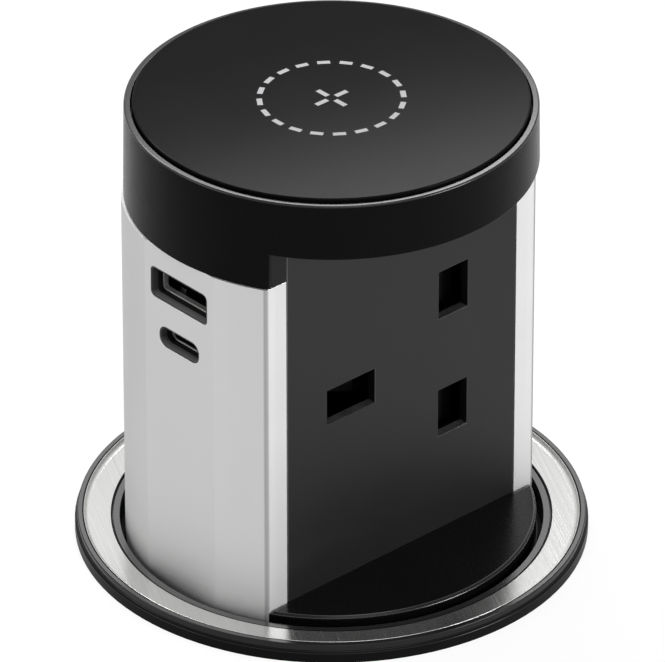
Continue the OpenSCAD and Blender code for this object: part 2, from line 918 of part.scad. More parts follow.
// Two leaves that grip a pin, a bridge behind its tip and a terminal block.
// The leaves lie at either side in X.
module contact(across, leaf_w, front, tip) {
    bridge = tip + tip_room;
    gap = across / 2 + contact_gap;
    difference() {
        union() {
            for (side = [0, 1])
                mirror([side, 0, 0])
                    box([gap, front, -leaf_w / 2], [gap + leaf_t, bridge + leaf_t, leaf_w / 2]);
            box([-gap - leaf_t, bridge, -leaf_w / 2], [gap + leaf_t, bridge + leaf_t, leaf_w / 2]);
            box([-terminal_block / 2, bridge, -terminal_block / 2],
                [terminal_block / 2, carrier_inner - fit_gap, terminal_block / 2]);
        }
        along_y(terminal_screw_d / 2 + fit_gap, 0, 0, bridge + leaf_t, carrier_inner + cut);
    }
}

module line_contact(z) {
    leaf_w = line_pin[1] - line_leaf_inset;
    translate([line_x, 0, z])
        contact(line_pin[0], leaf_w, shutter_back + line_contact_room, face_y + line_pin_l);
}

module live_contact() {
    color("#c9a24a")
        line_contact(socket_z + line_x);
}

module neutral_contact() {
    color("#c9a24a")
        line_contact(socket_z - line_x);
}

module earth_contact() {
    leaf_w = earth_pin[0] - earth_leaf_inset;
    color("#c9a24a")
        translate([earth_x, 0, socket_z])
            rotate([0, 90, 0])
                contact(earth_pin[1], leaf_w, behind_wedge, face_y + earth_pin_l);
}

module terminal_screws() {
    color("#b5b7b9")
        terminal_places() {
            along_y(terminal_screw_d / 2, 0, 0, carrier_inner - terminal_l / 2, carrier_back);
            along_y(terminal_head_d / 2, 0, 0, carrier_back, carrier_back + terminal_head_t);
        }
}

// Flaps over the line apertures, a bar to the earth aperture and the wedge that the earth pin drives
module shutter() {
    wedge_front = earth_x + earth_pin[0] / 2 + wedge_gap;
    wedge_tip = wedge_front - shutter_travel - wedge_gap;
    wedge_right = wedge_front + wedge_w;
    wedge_y = shutter_back + wedge_l;
    spine_x = flap_left - spine_w;
    color("#3a3b3d")
        union() {
            for (side = [-1, 1])
                translate([line_x, shutter_y, socket_z + side * line_x])
                    box([-flap[0] / 2, 0, -flap[1] / 2], [flap[0] / 2, shutter_t, flap[1] / 2]);
            box([spine_x, shutter_y, socket_z - line_x - flap[1] / 2],
                [flap_left, shutter_back, socket_z + line_x + flap[1] / 2]);
            box(
                [wedge_front, shutter_y, socket_z - wedge_h / 2],
                [flap_left, shutter_back, socket_z + wedge_h / 2]
            );
            translate([0, 0, socket_z - wedge_h / 2])
                linear_extrude(wedge_h)
                    polygon([
                        [wedge_front, shutter_y], [wedge_right, shutter_y],
                        [wedge_right, wedge_y], [wedge_tip, wedge_y]
                    ]);
            box(
                [spine_x, shutter_y, socket_z - spring_stop[1] / 2],
                [flap_left, shutter_back + spring_stop[0], socket_z + spring_stop[1] / 2]
            );
        }
}

module shutter_spring() {
    start = flap_left + spring_seat_gap;
    length = carrier_right - carrier_wall - start - spring_seat_gap;
    echo(shutter_spring_gap = least_gap(
        shutter_spring_turns, small_spring_rings, shutter_spring_r, length - shutter_wire, shutter_wire));
    color("#b0b2b4")
        translate([start, shutter_back + running_gap + shutter_spring_r + shutter_wire / 2, socket_z])
            rotate([0, 90, 0])
                wound_wire(shutter_spring_turns, small_spring_rings, shutter_spring_r, length, shutter_wire);
}

// Prism in a USB slot, drawn in from the slot's edge, from x0 into the liner's plate
module lining(slot, corner, inset, z, x0) {
    side_prism(slot - 2 * [inset, inset], corner - inset, z, x0, liner_x + liner_t + sliver);
}

module usb_liner() {
    half = liner_w / 2 - fit_gap;
    color("#4a4b4e")
        difference() {
            union() {
                box([liner_x, -half, shelf_low], [liner_x + liner_t, half, shelf_high]);
                for (z = [shelf_low, shelf_high - shelf_t])
                    box([liner_x, -half, z], [board_x, half, z + shelf_t]);
                lining(usb_a, slot_corner_a, fit_gap, usb_a_z, flat_x + fit_gap);
                lining(usb_c, slot_corner_c, fit_gap, usb_c_z, flat_x + fit_gap);
            }
            lining(usb_a, slot_corner_a, fit_gap + liner_wall, usb_a_z, flat_x - cut);
            lining(usb_c, slot_corner_c, fit_gap + liner_wall, usb_c_z, flat_x - cut);
            lining(usb_a, slot_corner_a, 0, usb_a_z, liner_x + liner_web);
            lining(usb_c, slot_corner_c, 0, usb_c_z, liner_x + liner_web);
        }
}

// Metal shell of a port, closed by the board behind it
module port_shell(opening, corner, z) {
    outer = opening - 2 * [port_room, port_room];
    difference() {
        side_prism(outer, corner, z, port_x, board_x);
        side_prism(outer - 2 * [port_wall, port_wall], corner - port_wall, z, port_x - cut, board_x + cut);
    }
}

module usb_a_shell() {
    color("#b4b6b8")
        port_shell(usb_a, slot_corner_a - port_room, usb_a_z);
}

module usb_a_tongue() {
    color("#1c1c1e")
        side_prism(tongue_a, tongue_corner, usb_a_z + tongue_a_lift, port_x + tongue_sink, board_x);
}

module usb_c_shell() {
    color("#b4b6b8")
        port_shell(usb_c, slot_corner_c - port_room, usb_c_z);
}

module usb_c_tongue() {
    color("#1c1c1e")
        side_prism(tongue_c, tongue_corner, usb_c_z, port_x + tongue_sink, board_x);
}

module usb_board() {
    half = liner_w / 2 - fit_gap;
    color("#1f5b39")
        box([board_x, -half, shelf_low], [board_x + board_t, half, shelf_high]);
}

module power_board() {
    color("#1f5b39")
        box([-power_board_w / 2, power_y, plug_top],
            [power_board_w / 2, power_y + board_t, plug_top + power_board_h]);
}

module transformer() {
    low = power_y + board_t + part_gap;
    color("#d9c25a")
        box([-transformer_size[0] / 2, low, plug_top + post[2]],
            [transformer_size[0] / 2, low + transformer_size[1], plug_top + post[2] + transformer_size[2]]);
}

module capacitors() {
    low = power_y + board_t + part_gap;
    z = plug_top + post[2] + transformer_size[2] + capacitor_rise + capacitor_d / 2;
    color("#2c3f73")
        for (side = [-1, 1])
            along_y(capacitor_d / 2, side * (capacitor_d + capacitor_gap) / 2, z, low, low + capacitor_l);
}

module cap_collar() {
    inside_r = cap_side_r(plate_top) - collar_wall;
    inside_top = plate_top - collar_top_t;
    wall_back = face_y + collar_wall;
    door = plate_w / 2;
    color("#242527")
        difference() {
            union() {
                difference() {
                    cap_side(shell_top, plate_top);
                    box([-tower_r, -tower_r, shell_top - cut], [tower_r, face_y, plate_top + cut]);
                    tower_prism(inside_r, wall_back, -tower_r, shell_top - cut, inside_top);
                }
                intersection() {
                    tower_prism(inside_r + collar_wall / 2, wall_back, -tower_r, shell_top, plate_top);
                    union() {
                        at_angles(tie_angles, tie_r)
                            disc(boss_r, shell_top, plate_top);
                        at_angles(cap_screw_angles, cap_screw_r)
                            disc(boss_r, shell_top, plate_top);
                    }
                }
            }
            box([-door, -tower_r, shell_top - cut], [door, plate_rear + fit_gap, plate_top + cut]);
            disc(collar_hole_d / 2, shell_top - cut, plate_top + cut);
            at_angles(tie_angles, tie_r)
                disc(tie_d / 2 + fit_gap, shell_top - cut, tie_tip + fit_gap);
            at_angles(cap_screw_angles, cap_screw_r)
                disc(small_screw_d / 2 + fit_gap, shell_top - cut, plate_top + cut);
        }
}

module cap_shell() {
    shelf_r = cap_r - rim_w - pad_shelf_w;
    color("#212225")
        difference() {
            cap_side(plate_top, rim_z);
            disc(cap_r - rim_w, pad_bottom, rim_z + cut);
            disc(shelf_r, floor_top, rim_z);
            disc(cap_wire_hole_d / 2, plate_top - cut, floor_top + cut);
            at_angles(cap_screw_angles, cap_screw_r)
                disc(small_screw_d / 2 + fit_gap, plate_top - cut, floor_top + cut);
        }
}

module cap_screws() {
    color("#a4a6a8")
        at_angles(cap_screw_angles, cap_screw_r)
            screw(small_screw_d, small_head_d, small_head_t, floor_top, shell_top + screw_tip_room);
}

module charge_board() {
    color("#1f5b39")
        disc(charge_board_d / 2, floor_top, floor_top + board_t);
    color("#9fa1a3")
        translate([0, 0, floor_top + board_t + shield[2] / 2])
            cube(shield, center = true);
}

module ferrite_disc() {
    low = pad_bottom - fit_gap - coil_t - fit_gap - ferrite_t;
    color("#333436")
        disc(ferrite_d / 2, low, low + ferrite_t);
}

module charge_coil() {
    low = pad_bottom - fit_gap - coil_t;
    color("#b5713a")
        ring(coil_d / 2, coil_hole_d / 2, low, low + coil_t);
}

module charge_pad() {
    color("#3a3b3d")
        disc(cap_r - rim_w - pad_gap, pad_bottom, pad_z);
}

bezel();
steel_ring();
sleeve();
desk_gasket();
clamp_washer();
clamp_nut();
bottom_cover();
bottom_screws();
cord_grommet();
lift_spring();
latch_bracket();
latch_pin();
latch_hook();
latch_striker();
tower_base();
guide_ring();
stop_bumper();
tie_screws();
cord_gland();
gland_nut();
tower_shell();
socket_plate();
socket_carrier();
carrier_screws();
live_contact();
neutral_contact();
earth_contact();
terminal_screws();
shutter();
shutter_spring();
usb_liner();
usb_a_shell();
usb_a_tongue();
usb_c_shell();
usb_c_tongue();
usb_board();
power_board();
transformer();
capacitors();
cap_collar();
cap_shell();
cap_screws();
charge_board();
ferrite_disc();
charge_coil();
charge_pad();
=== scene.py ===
"""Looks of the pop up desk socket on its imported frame, in metres."""
import json
import math

import bmesh
import bpy
import numpy as np
from mathutils import Matrix, Vector


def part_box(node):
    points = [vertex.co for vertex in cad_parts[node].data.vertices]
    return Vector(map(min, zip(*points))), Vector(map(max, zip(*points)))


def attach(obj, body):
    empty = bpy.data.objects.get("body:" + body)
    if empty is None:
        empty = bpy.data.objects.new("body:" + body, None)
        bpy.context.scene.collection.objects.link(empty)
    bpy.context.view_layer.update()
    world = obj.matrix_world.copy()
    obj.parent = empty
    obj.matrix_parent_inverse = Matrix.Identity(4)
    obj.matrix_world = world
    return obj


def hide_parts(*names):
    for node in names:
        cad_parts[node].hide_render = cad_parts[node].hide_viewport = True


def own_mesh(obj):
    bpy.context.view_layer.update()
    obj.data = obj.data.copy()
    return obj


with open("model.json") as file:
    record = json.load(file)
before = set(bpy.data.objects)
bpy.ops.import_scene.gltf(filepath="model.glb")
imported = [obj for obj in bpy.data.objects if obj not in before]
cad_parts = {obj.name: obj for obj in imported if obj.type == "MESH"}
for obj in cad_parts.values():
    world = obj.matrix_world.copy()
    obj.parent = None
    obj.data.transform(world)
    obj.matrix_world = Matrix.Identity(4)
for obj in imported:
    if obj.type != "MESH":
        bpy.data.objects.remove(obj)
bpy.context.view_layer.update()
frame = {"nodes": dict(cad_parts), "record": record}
scene = bpy.context.scene

MM = 0.001
SHARP = math.radians(30)
SEAM = 0.001 * MM
FLAT = math.radians(0.2)
SLOT_OF = {part["node"]: part["material_slot"] for part in frame["record"]["subparts"]}
BEHAVIOUR = frame["record"]["behaviour"]
BODY_OF = {node: body for body, nodes in BEHAVIOUR["bodies"].items() for node in nodes}


# Node trees

NOISE_ROUGHNESS = 0.6


class Nodes:
    """Adds nodes to a tree. An input is given as a plain value or as another node's output socket."""

    def __init__(self, tree):
        self.tree = tree

    def add(self, kind, inputs=None, **settings):
        node = self.tree.nodes.new(kind)
        for key, value in settings.items():
            setattr(node, key, value)
        for key, value in (inputs or {}).items():
            if isinstance(value, bpy.types.NodeSocket):
                self.link(value, node.inputs[key])
            else:
                node.inputs[key].default_value = value
        return node

    def link(self, value, socket):
        self.tree.links.new(value, socket)

    def math(self, operation, *values):
        return self.add("ShaderNodeMath", dict(enumerate(values)), operation=operation).outputs[0]

    def scale(self, vector, share):
        return self.add("ShaderNodeVectorMath", {0: vector, "Scale": share}, operation="SCALE").outputs[0]

    def xyz(self, x, y, z):
        return self.add("ShaderNodeCombineXYZ", {"X": x, "Y": y, "Z": z}).outputs[0]

    def split(self, vector):
        return self.add("ShaderNodeSeparateXYZ", {0: vector}).outputs

    def place(self):
        """The point's place in the frame."""
        return self.add("ShaderNodeTexCoord").outputs["Object"]

    def noise(self, place, scale, detail):
        inputs = {"Vector": place, "Scale": scale, "Detail": detail, "Roughness": NOISE_ROUGHNESS}
        return self.add("ShaderNodeTexNoise", inputs).outputs[0]

    def spread(self, value, low, high, start=0.3, end=0.7):
        """Goes from low to high as a value goes from start to end, which is most of a noise's range."""
        inputs = {"Value": value, "From Min": start, "From Max": end, "To Min": low, "To Max": high}
        return self.add("ShaderNodeMapRange", inputs).outputs[0]

    def mix(self, mask, first, second):
        """The first colour where the mask is 0, and the second where it is 1."""
        return self.add("ShaderNodeMix", {0: mask, 6: first, 7: second}, data_type="RGBA").outputs[2]

    def mean(self, first, second, share):
        """The mean of two values, of which the first has this share."""
        rest = self.math("MULTIPLY", second, 1.0 - share)
        return self.math("ADD", self.math("MULTIPLY", first, share), rest)

    def reach(self, x, y):
        """The length of a run along x and y."""
        square = self.math("ADD", self.math("MULTIPLY", x, x), self.math("MULTIPLY", y, y))
        return self.math("SQRT", square)


def new_group(kind, name, inputs, outputs):
    """A node group with these sockets, as its nodes, its given inputs and its outputs."""
    tree = bpy.data.node_groups.new(name, kind)
    for direction, sockets in (("INPUT", inputs), ("OUTPUT", outputs)):
        for label, form in sockets:
            tree.interface.new_socket(label, in_out=direction, socket_type="NodeSocket" + form)
    nodes = Nodes(tree)
    return nodes, nodes.add("NodeGroupInput").outputs, nodes.add("NodeGroupOutput")


# Shader groups

SURFACE_IN = [("Colour", "Color"), ("Contrast", "Float"), ("Smooth", "Float"), ("Rough", "Float")]
SURFACE_OUT = [("Colour", "Color"), ("Roughness", "Float"), ("Height", "Float")]
PATCH_SIZE = 14 * MM
PIT_SHARE = 0.65
BROAD_STREAKS = 0.22
FINE_SHARE = 0.6
WEAR_SIZE = 1.6 * MM
WEAR_LEAST = 0.35
WEAR_SMOOTHS = 0.5


def give_surface(nodes, given, out, texture):
    """Puts a texture out as shades of the colour, as roughness and as height."""
    darkest = nodes.math("SUBTRACT", 1.0, given["Contrast"])
    lightest = nodes.math("ADD", 1.0, given["Contrast"])
    shade = nodes.spread(texture, darkest, lightest)
    nodes.link(nodes.scale(given["Colour"], shade), out.inputs["Colour"])
    nodes.link(nodes.spread(texture, given["Smooth"], given["Rough"]), out.inputs["Roughness"])
    nodes.link(texture, out.inputs["Height"])


def make_moulding_grain():
    """Fine pits of a moulded or cast skin, with slow patches from handling. Grain is the pits' size."""
    inputs = SURFACE_IN + [("Grain", "Float")]
    nodes, given, out = new_group("ShaderNodeTree", "moulding_grain", inputs, SURFACE_OUT)
    pits = nodes.noise(nodes.place(), nodes.math("DIVIDE", 1.0, given["Grain"]), 3.0)
    patches = nodes.noise(nodes.place(), 1 / PATCH_SIZE, 2.0)
    give_surface(nodes, given, out, nodes.mean(pits, patches, PIT_SHARE))
    return nodes.tree


def make_brushed_lines():
    """Streaks of a brushed metal. Streak is their size along their own axes, and Turn is how these lie."""
    inputs = SURFACE_IN + [("Streak", "Vector"), ("Turn", "Vector")]
    nodes, given, out = new_group("ShaderNodeTree", "brushed_lines", inputs, SURFACE_OUT)
    mapping = {"Vector": nodes.place(), "Rotation": given["Turn"], "Scale": given["Streak"]}
    laid = nodes.add("ShaderNodeMapping", mapping, vector_type="TEXTURE").outputs[0]
    fine = nodes.noise(laid, 1.0, 2.0)
    broad = nodes.noise(laid, BROAD_STREAKS, 1.0)
    give_surface(nodes, given, out, nodes.mean(fine, broad, FINE_SHARE))
    return nodes.tree


def make_edge_wear_and_painted_light():
    """Another tone, a smoother skin and an own coat on the edges that the attribute edge marks. The other
    tone is partly wear and partly painted light: a painted highlight along the edges, and painted light on
    faces that a piece marks as edges.
    """
    inputs = [
        ("Colour", "Color"), ("Roughness", "Float"), ("Wear", "Float"), ("Tone", "Float"),
        ("Polish", "Float"), ("Gloss", "Float"),
    ]
    outputs = [("Colour", "Color"), ("Roughness", "Float"), ("Coat", "Float")]
    nodes, given, out = new_group("ShaderNodeTree", "edge_wear", inputs, outputs)
    rounded = nodes.add("ShaderNodeAttribute", attribute_name="edge").outputs["Fac"]
    uneven = nodes.spread(nodes.noise(nodes.place(), 1 / WEAR_SIZE, 3.0), WEAR_LEAST, 1.0)
    mask = nodes.math("MULTIPLY", nodes.math("MULTIPLY", rounded, uneven), given["Wear"])
    toned = nodes.scale(given["Colour"], given["Tone"])
    smoother = nodes.math("SUBTRACT", 1.0, nodes.math("MULTIPLY", mask, WEAR_SMOOTHS))
    nodes.link(nodes.mix(mask, given["Colour"], toned), out.inputs["Colour"])
    nodes.link(nodes.math("MULTIPLY", given["Roughness"], smoother), out.inputs["Roughness"])
    nodes.link(nodes.spread(rounded, given["Gloss"], given["Polish"], 0.0, 1.0), out.inputs["Coat"])
    return nodes.tree


MOULDING_GRAIN = make_moulding_grain()
BRUSHED_LINES = make_brushed_lines()
EDGE_WEAR_AND_PAINTED_LIGHT = make_edge_wear_and_painted_light()


# Patterns, painted light and painted shade of single finishes: each takes the nodes, a colour and a height,
# and returns the last two

TAPE_PITCH = 5 * MM
TAPE_SHADE = 0.75
TAPE_LAP = 0.6


def tape_laps(nodes, colour, height):
    """Bands of lapped tape up the transformer, dark between them."""
    phase = nodes.math("FRACT", nodes.math("DIVIDE", nodes.split(nodes.place())["Z"], TAPE_PITCH))
    arch = nodes.math("MULTIPLY", nodes.math("MULTIPLY", phase, nodes.math("SUBTRACT", 1.0, phase)), 4.0)
    shade = nodes.spread(arch, TAPE_SHADE, 1.0, 0.0, TAPE_LAP)
    return nodes.scale(colour, shade), nodes.math("ADD", height, arch)


TRACK_PITCH = 9 * MM
TRACK_SHARE = 0.03
TRACK_GREEN = (0.05, 0.2, 0.08, 1)
SOLDER_PITCH = 2.6 * MM
SOLDER_EDGE = (0.16, 0.2)
SOLDER_GREY = (0.55, 0.56, 0.55, 1)


def board_tracks(nodes, colour, height):
    """Lighter tracks under the board's lacquer, and tinned pads."""
    place = nodes.place()
    bricks = nodes.add("ShaderNodeTexBrick", {
        "Vector": place, "Color1": (0, 0, 0, 1), "Color2": (0.25, 0.25, 0.25, 1), "Mortar": (1, 1, 1, 1),
        "Scale": 1 / TRACK_PITCH, "Mortar Size": TRACK_SHARE,
    })
    tracks = nodes.mix(bricks.outputs["Color"], colour, TRACK_GREEN)
    dots = nodes.add("ShaderNodeTexVoronoi", {"Vector": place, "Scale": 1 / SOLDER_PITCH})
    pads = nodes.spread(dots.outputs["Distance"], 1.0, 0.0, *SOLDER_EDGE)
    return nodes.mix(pads, tracks, SOLDER_GREY), nodes.math("ADD", height, pads)


CAPACITOR_HALF_STEP = 5 * MM
STRIPE_EDGE = (1.0 * MM, 1.2 * MM)
STRIPE_GREY = (0.5, 0.52, 0.54, 1)


def sleeve_stripe(nodes, colour, height):
    """A pale stripe down each capacitor's sleeve."""
    x = nodes.split(nodes.place())["X"]
    across = nodes.math("WRAP", x, CAPACITOR_HALF_STEP, -CAPACITOR_HALF_STEP)
    stripe = nodes.spread(nodes.math("ABSOLUTE", across), 1.0, 0.0, *STRIPE_EDGE)
    return nodes.mix(stripe, colour, STRIPE_GREY), height


# Black painted as shade in the slots, inside the ports and along the steel ring's inner edge.
PAINTED_SHADE_BLACK = (0.003, 0.003, 0.003, 1)
SLOT_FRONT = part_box("usb_liner")[0].x
LINING_FRONT = 1.25 * MM
LINING_RIM = 0.02 * MM
LINING_SHADES = (0.5, 1.6)
FLOOR_FACING = (0.2, 0.9)


def lining_painted_light_and_shade(nodes, colour, height):
    """The slot lining's grey front, with painted light and shade: lighter on its upward floors and darker on
    its walls, black along its front rim and black deeper in.
    """
    depth = nodes.math("SUBTRACT", nodes.split(nodes.place())["X"], SLOT_FRONT)
    upward = nodes.split(nodes.add("ShaderNodeNewGeometry").outputs["Normal"])["Z"]
    lit_and_shaded = nodes.scale(colour, nodes.spread(upward, *LINING_SHADES, *FLOOR_FACING))
    deep = nodes.math("GREATER_THAN", depth, LINING_FRONT)
    rim = nodes.math("LESS_THAN", depth, LINING_RIM)
    return nodes.mix(nodes.math("MAXIMUM", deep, rim), lit_and_shaded, PAINTED_SHADE_BLACK), height


PORT_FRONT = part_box("usb_a_shell")[0].x
PORT_A_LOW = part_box("usb_a_shell")[0].z
LIP_A = 0.95 * MM
LIP_C = 0.25 * MM


def port_painted_shade(nodes, colour, height):
    """A port's bare steel lip, and painted shade behind that: its inside painted black."""
    place = nodes.split(nodes.place())
    depth = nodes.math("SUBTRACT", place["X"], PORT_FRONT)
    in_a = nodes.math("GREATER_THAN", place["Z"], PORT_A_LOW)
    lip = nodes.spread(in_a, LIP_C, LIP_A, 0.0, 1.0)
    return nodes.mix(nodes.math("GREATER_THAN", depth, lip), colour, PAINTED_SHADE_BLACK), height


CORNER_LINE = (0.3 * MM, 0.6 * MM)
CORNER_SHADE = 0.6


def corner_painted_reflection(nodes, colour, height):
    """A dark line down the corners where the shell's returns meet its round: a painted reflection of
    something dark in their rounding.
    """
    low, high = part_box("tower_shell")
    corner_x = math.sqrt(high.y ** 2 - low.y ** 2)
    place = nodes.split(nodes.place())
    across = nodes.math("SUBTRACT", nodes.math("ABSOLUTE", place["X"]), corner_x)
    back = nodes.math("SUBTRACT", place["Y"], low.y)
    shade = nodes.spread(nodes.reach(across, back), CORNER_SHADE, 1.0, *CORNER_LINE)
    return nodes.scale(colour, shade), height


RING_GAP_SHADE_WIDTH = 0.28 * MM
ring_corners = frame["nodes"]["steel_ring"].data.vertices
RING_INNER = min(math.hypot(vert.co.x, vert.co.y) for vert in ring_corners)


def ring_gap_painted_shade(nodes, colour, height):
    """A dark line painted along the steel ring's inner edge, where it meets the bezel's lip: painted shade
    in the gap between them.
    """
    place = nodes.split(nodes.place())
    in_gap_shade = nodes.math("LESS_THAN", nodes.reach(place["X"], place["Y"]), RING_INNER + RING_GAP_SHADE_WIDTH)
    return nodes.mix(in_gap_shade, colour, PAINTED_SHADE_BLACK), height


# Finishes

FINISHES = {}
COAT_ROUGHNESS = 0.2
SHADER_SOCKETS = {
    "metallic": "Metallic",
    "specular": "Specular IOR Level",
    "edge_tint": "Specular Tint",
    "coat_ior": "Coat IOR",
}


def finish(
    name, colour, rough, grain=0.25, streak=None, turn=0.0, contrast=0.15, relief=0.006, wear=0.3, tone=2.0,
    polish=0.0, gloss=0.0, mark=None, **shader,
):
    """Adds a procedural finish. rough is its least and most roughness, grain and streak are feature sizes
    and relief is a depth, in mm. wear brings up the tone of rounded edges, as a share of the colour, partly
    as wear and partly as a painted highlight, and as painted light on faces that a piece marks. polish coats
    the rounded edges, and gloss the faces between them. mark is a pattern of its own, or painted light or
    shade. The rest are the shader's constants."""
    material = bpy.data.materials.new(name)
    material.use_nodes = True
    nodes = Nodes(material.node_tree)
    nodes.tree.nodes.clear()
    inputs = {"Colour": (*colour, 1.0), "Contrast": contrast, "Smooth": rough[0], "Rough": rough[1]}
    if streak:
        inputs.update(Streak=[size * MM for size in streak], Turn=(0.0, 0.0, turn))
    else:
        inputs.update(Grain=grain * MM)
    skin = nodes.add("ShaderNodeGroup", inputs, node_tree=BRUSHED_LINES if streak else MOULDING_GRAIN)
    shown, height = skin.outputs["Colour"], skin.outputs["Height"]
    if mark:
        shown, height = mark(nodes, shown, height)
    worn_or_lit = nodes.add("ShaderNodeGroup", {
        "Colour": shown, "Roughness": skin.outputs["Roughness"], "Wear": wear, "Tone": tone,
        "Polish": polish, "Gloss": gloss,
    }, node_tree=EDGE_WEAR_AND_PAINTED_LIGHT)
    bump = nodes.add("ShaderNodeBump", {"Height": height, "Strength": 1.0, "Distance": relief * MM})
    sockets = {SHADER_SOCKETS[key]: value for key, value in shader.items()}
    if polish or gloss:
        sockets.update({"Coat Weight": worn_or_lit.outputs["Coat"], "Coat Roughness": COAT_ROUGHNESS})
    surface = nodes.add("ShaderNodeBsdfPrincipled", {
        "Base Color": worn_or_lit.outputs["Colour"], "Roughness": worn_or_lit.outputs["Roughness"],
        "Normal": bump.outputs["Normal"], **sockets,
    })
    nodes.add("ShaderNodeOutputMaterial", {"Surface": surface.outputs["BSDF"]})
    FINISHES[name] = material


BRUSH_RUN = (-0.47, -0.88)

finish(
    "bezel_black", (0.005, 0.005, 0.0052), (0.2, 0.32), polish=0.08, gloss=1.0, specular=0.12, coat_ior=2.0
)
# Its mark paints shade as a dark line along the ring's inner edge.
finish(
    "brushed_steel", (0.63, 0.63, 0.62), (0.17, 0.28), streak=(26, 0.07, 0.07),
    turn=math.atan2(BRUSH_RUN[1], BRUSH_RUN[0]), contrast=0.08, relief=0.002, wear=0.0, mark=ring_gap_painted_shade,
    metallic=1.0,
)
finish("sleeve_black", (0.0035, 0.0035, 0.0036), (0.3, 0.44), polish=0.4, specular=0.05)
finish("seal_rubber", (0.014, 0.014, 0.014), (0.6, 0.8), grain=0.4, specular=0.3)
finish("zinc_plate", (0.6, 0.61, 0.6), (0.3, 0.48), grain=1.1, contrast=0.22, metallic=1.0)
finish("spring_steel", (0.42, 0.42, 0.41), (0.22, 0.42), grain=0.5, contrast=0.3, metallic=1.0)
finish("bright_steel", (0.7, 0.7, 0.7), (0.16, 0.3), grain=0.3, metallic=1.0)
finish("screw_steel", (0.55, 0.55, 0.54), (0.24, 0.42), grain=0.3, metallic=1.0)
finish("acetal", (0.62, 0.61, 0.56), (0.3, 0.42), grain=0.5, contrast=0.05)
finish("base_black", (0.003, 0.003, 0.0031), (0.2, 0.32), polish=1.0, specular=0.16)
finish("gland_black", (0.012, 0.012, 0.012), (0.4, 0.55), specular=0.4)
# Its rounded edges take a lighter tone, partly wear and partly a painted highlight, and its mark paints a
# dark reflection down the corners.
finish(
    "satin_aluminium", (0.585, 0.59, 0.586), (0.54, 0.62), grain=0.18, contrast=0.03, relief=0.002,
    wear=0.9, tone=1.6, mark=corner_painted_reflection, metallic=1.0, edge_tint=(0.5, 0.5, 0.5, 1),
)
# Its high tone paints light on the upward floors of the apertures, and lightens its rounded edges as well.
finish(
    "plate_black", (0.006, 0.006, 0.0061), (0.36, 0.46), contrast=0.14, wear=0.8, tone=17, polish=0.8,
    specular=0.25,
)
finish("carrier_black", (0.006, 0.006, 0.006), (0.45, 0.6), grain=0.4, specular=0.15)
finish("shutter_black", (0.005, 0.005, 0.005), (0.4, 0.55), specular=0.15)
finish("contact_brass", (0.72, 0.52, 0.24), (0.2, 0.36), grain=0.6, metallic=1.0)
# Its mark paints light on the lining's floors, and shade on its walls, its front rim and deeper in.
finish("liner_grey", (0.13, 0.13, 0.13), (0.4, 0.55), mark=lining_painted_light_and_shade)
# Its mark paints shade, black inside each port behind its bare lip.
finish(
    "port_steel", (0.75, 0.75, 0.74), (0.34, 0.5), grain=0.3, contrast=0.3, mark=port_painted_shade, metallic=0.6
)
finish("tongue_black", (0.005, 0.005, 0.005), (0.3, 0.45), specular=0.2)
finish("board_green", (0.01, 0.075, 0.03), (0.2, 0.35), grain=0.8, relief=0.03, mark=board_tracks)
finish("transformer_tape", (0.62, 0.42, 0.05), (0.2, 0.32), relief=0.05, mark=tape_laps)
finish("capacitor_sleeve", (0.014, 0.02, 0.045), (0.22, 0.34), mark=sleeve_stripe)
finish("cap_black", (0.0035, 0.0035, 0.0036), (0.2, 0.32), polish=0.6, specular=0.04)
finish("ferrite", (0.03, 0.029, 0.028), (0.5, 0.7), grain=0.6, contrast=0.3)
finish("coil_copper", (0.6, 0.24, 0.1), (0.22, 0.36), grain=0.4, metallic=1.0)
finish(
    "pad_soft_black", (0.004, 0.004, 0.0041), (0.16, 0.21), grain=0.2, contrast=0.12, relief=0.0006,
    specular=0.025,
)
finish("print_pale", (0.42, 0.42, 0.43), (0.5, 0.65), grain=0.2, contrast=0.06, relief=0.002)

for node, slot in SLOT_OF.items():
    for place in frame["nodes"][node].material_slots:
        place.material = FINISHES[slot]


# Forms

def merged(node):
    """A copy of a CAD node at rest, with its seams merged and its flat faces made whole."""
    source = frame["nodes"][node]
    form = bmesh.new()
    form.from_mesh(source.data)
    form.transform(source.matrix_world)
    bmesh.ops.remove_doubles(form, verts=form.verts, dist=SEAM)
    bmesh.ops.dissolve_limit(form, angle_limit=FLAT, verts=form.verts, edges=form.edges)
    return form


def settle(piece):
    """Makes the modified form of a piece its plain mesh."""
    mesh = bpy.data.meshes.new_from_object(piece.evaluated_get(bpy.context.evaluated_depsgraph_get()))
    piece.modifiers.clear()
    piece.data = mesh


def place_piece(name, mesh, material, body, nodes=(), sharp=SHARP):
    """Links a finished mesh as a piece that rides on a body and stands for these CAD nodes."""
    if mesh.has_custom_normals:
        mesh.attributes.remove(mesh.attributes["custom_normal"])
    mesh.materials.clear()
    mesh.materials.append(material)
    mesh.shade_smooth()
    mesh.set_sharp_from_angle(angle=sharp)
    piece = bpy.data.objects.new(name, mesh)
    scene.collection.objects.link(piece)
    piece.modifiers.new("flat_faces", "WEIGHTED_NORMAL").keep_sharp = True
    settle(piece)
    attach(piece, body)
    if nodes:
        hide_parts(*nodes)
    return piece


def stand_for(node, ending, mesh, sharp=SHARP):
    """Places a mesh in the stead of a CAD node, on its body and in its finish."""
    slot = SLOT_OF[node]
    return place_piece(node + ending, mesh, FINISHES[slot], BODY_OF[node], [node], sharp)


BROAD = 0.45
UPRIGHT = 0.95
FACET = math.radians(12)


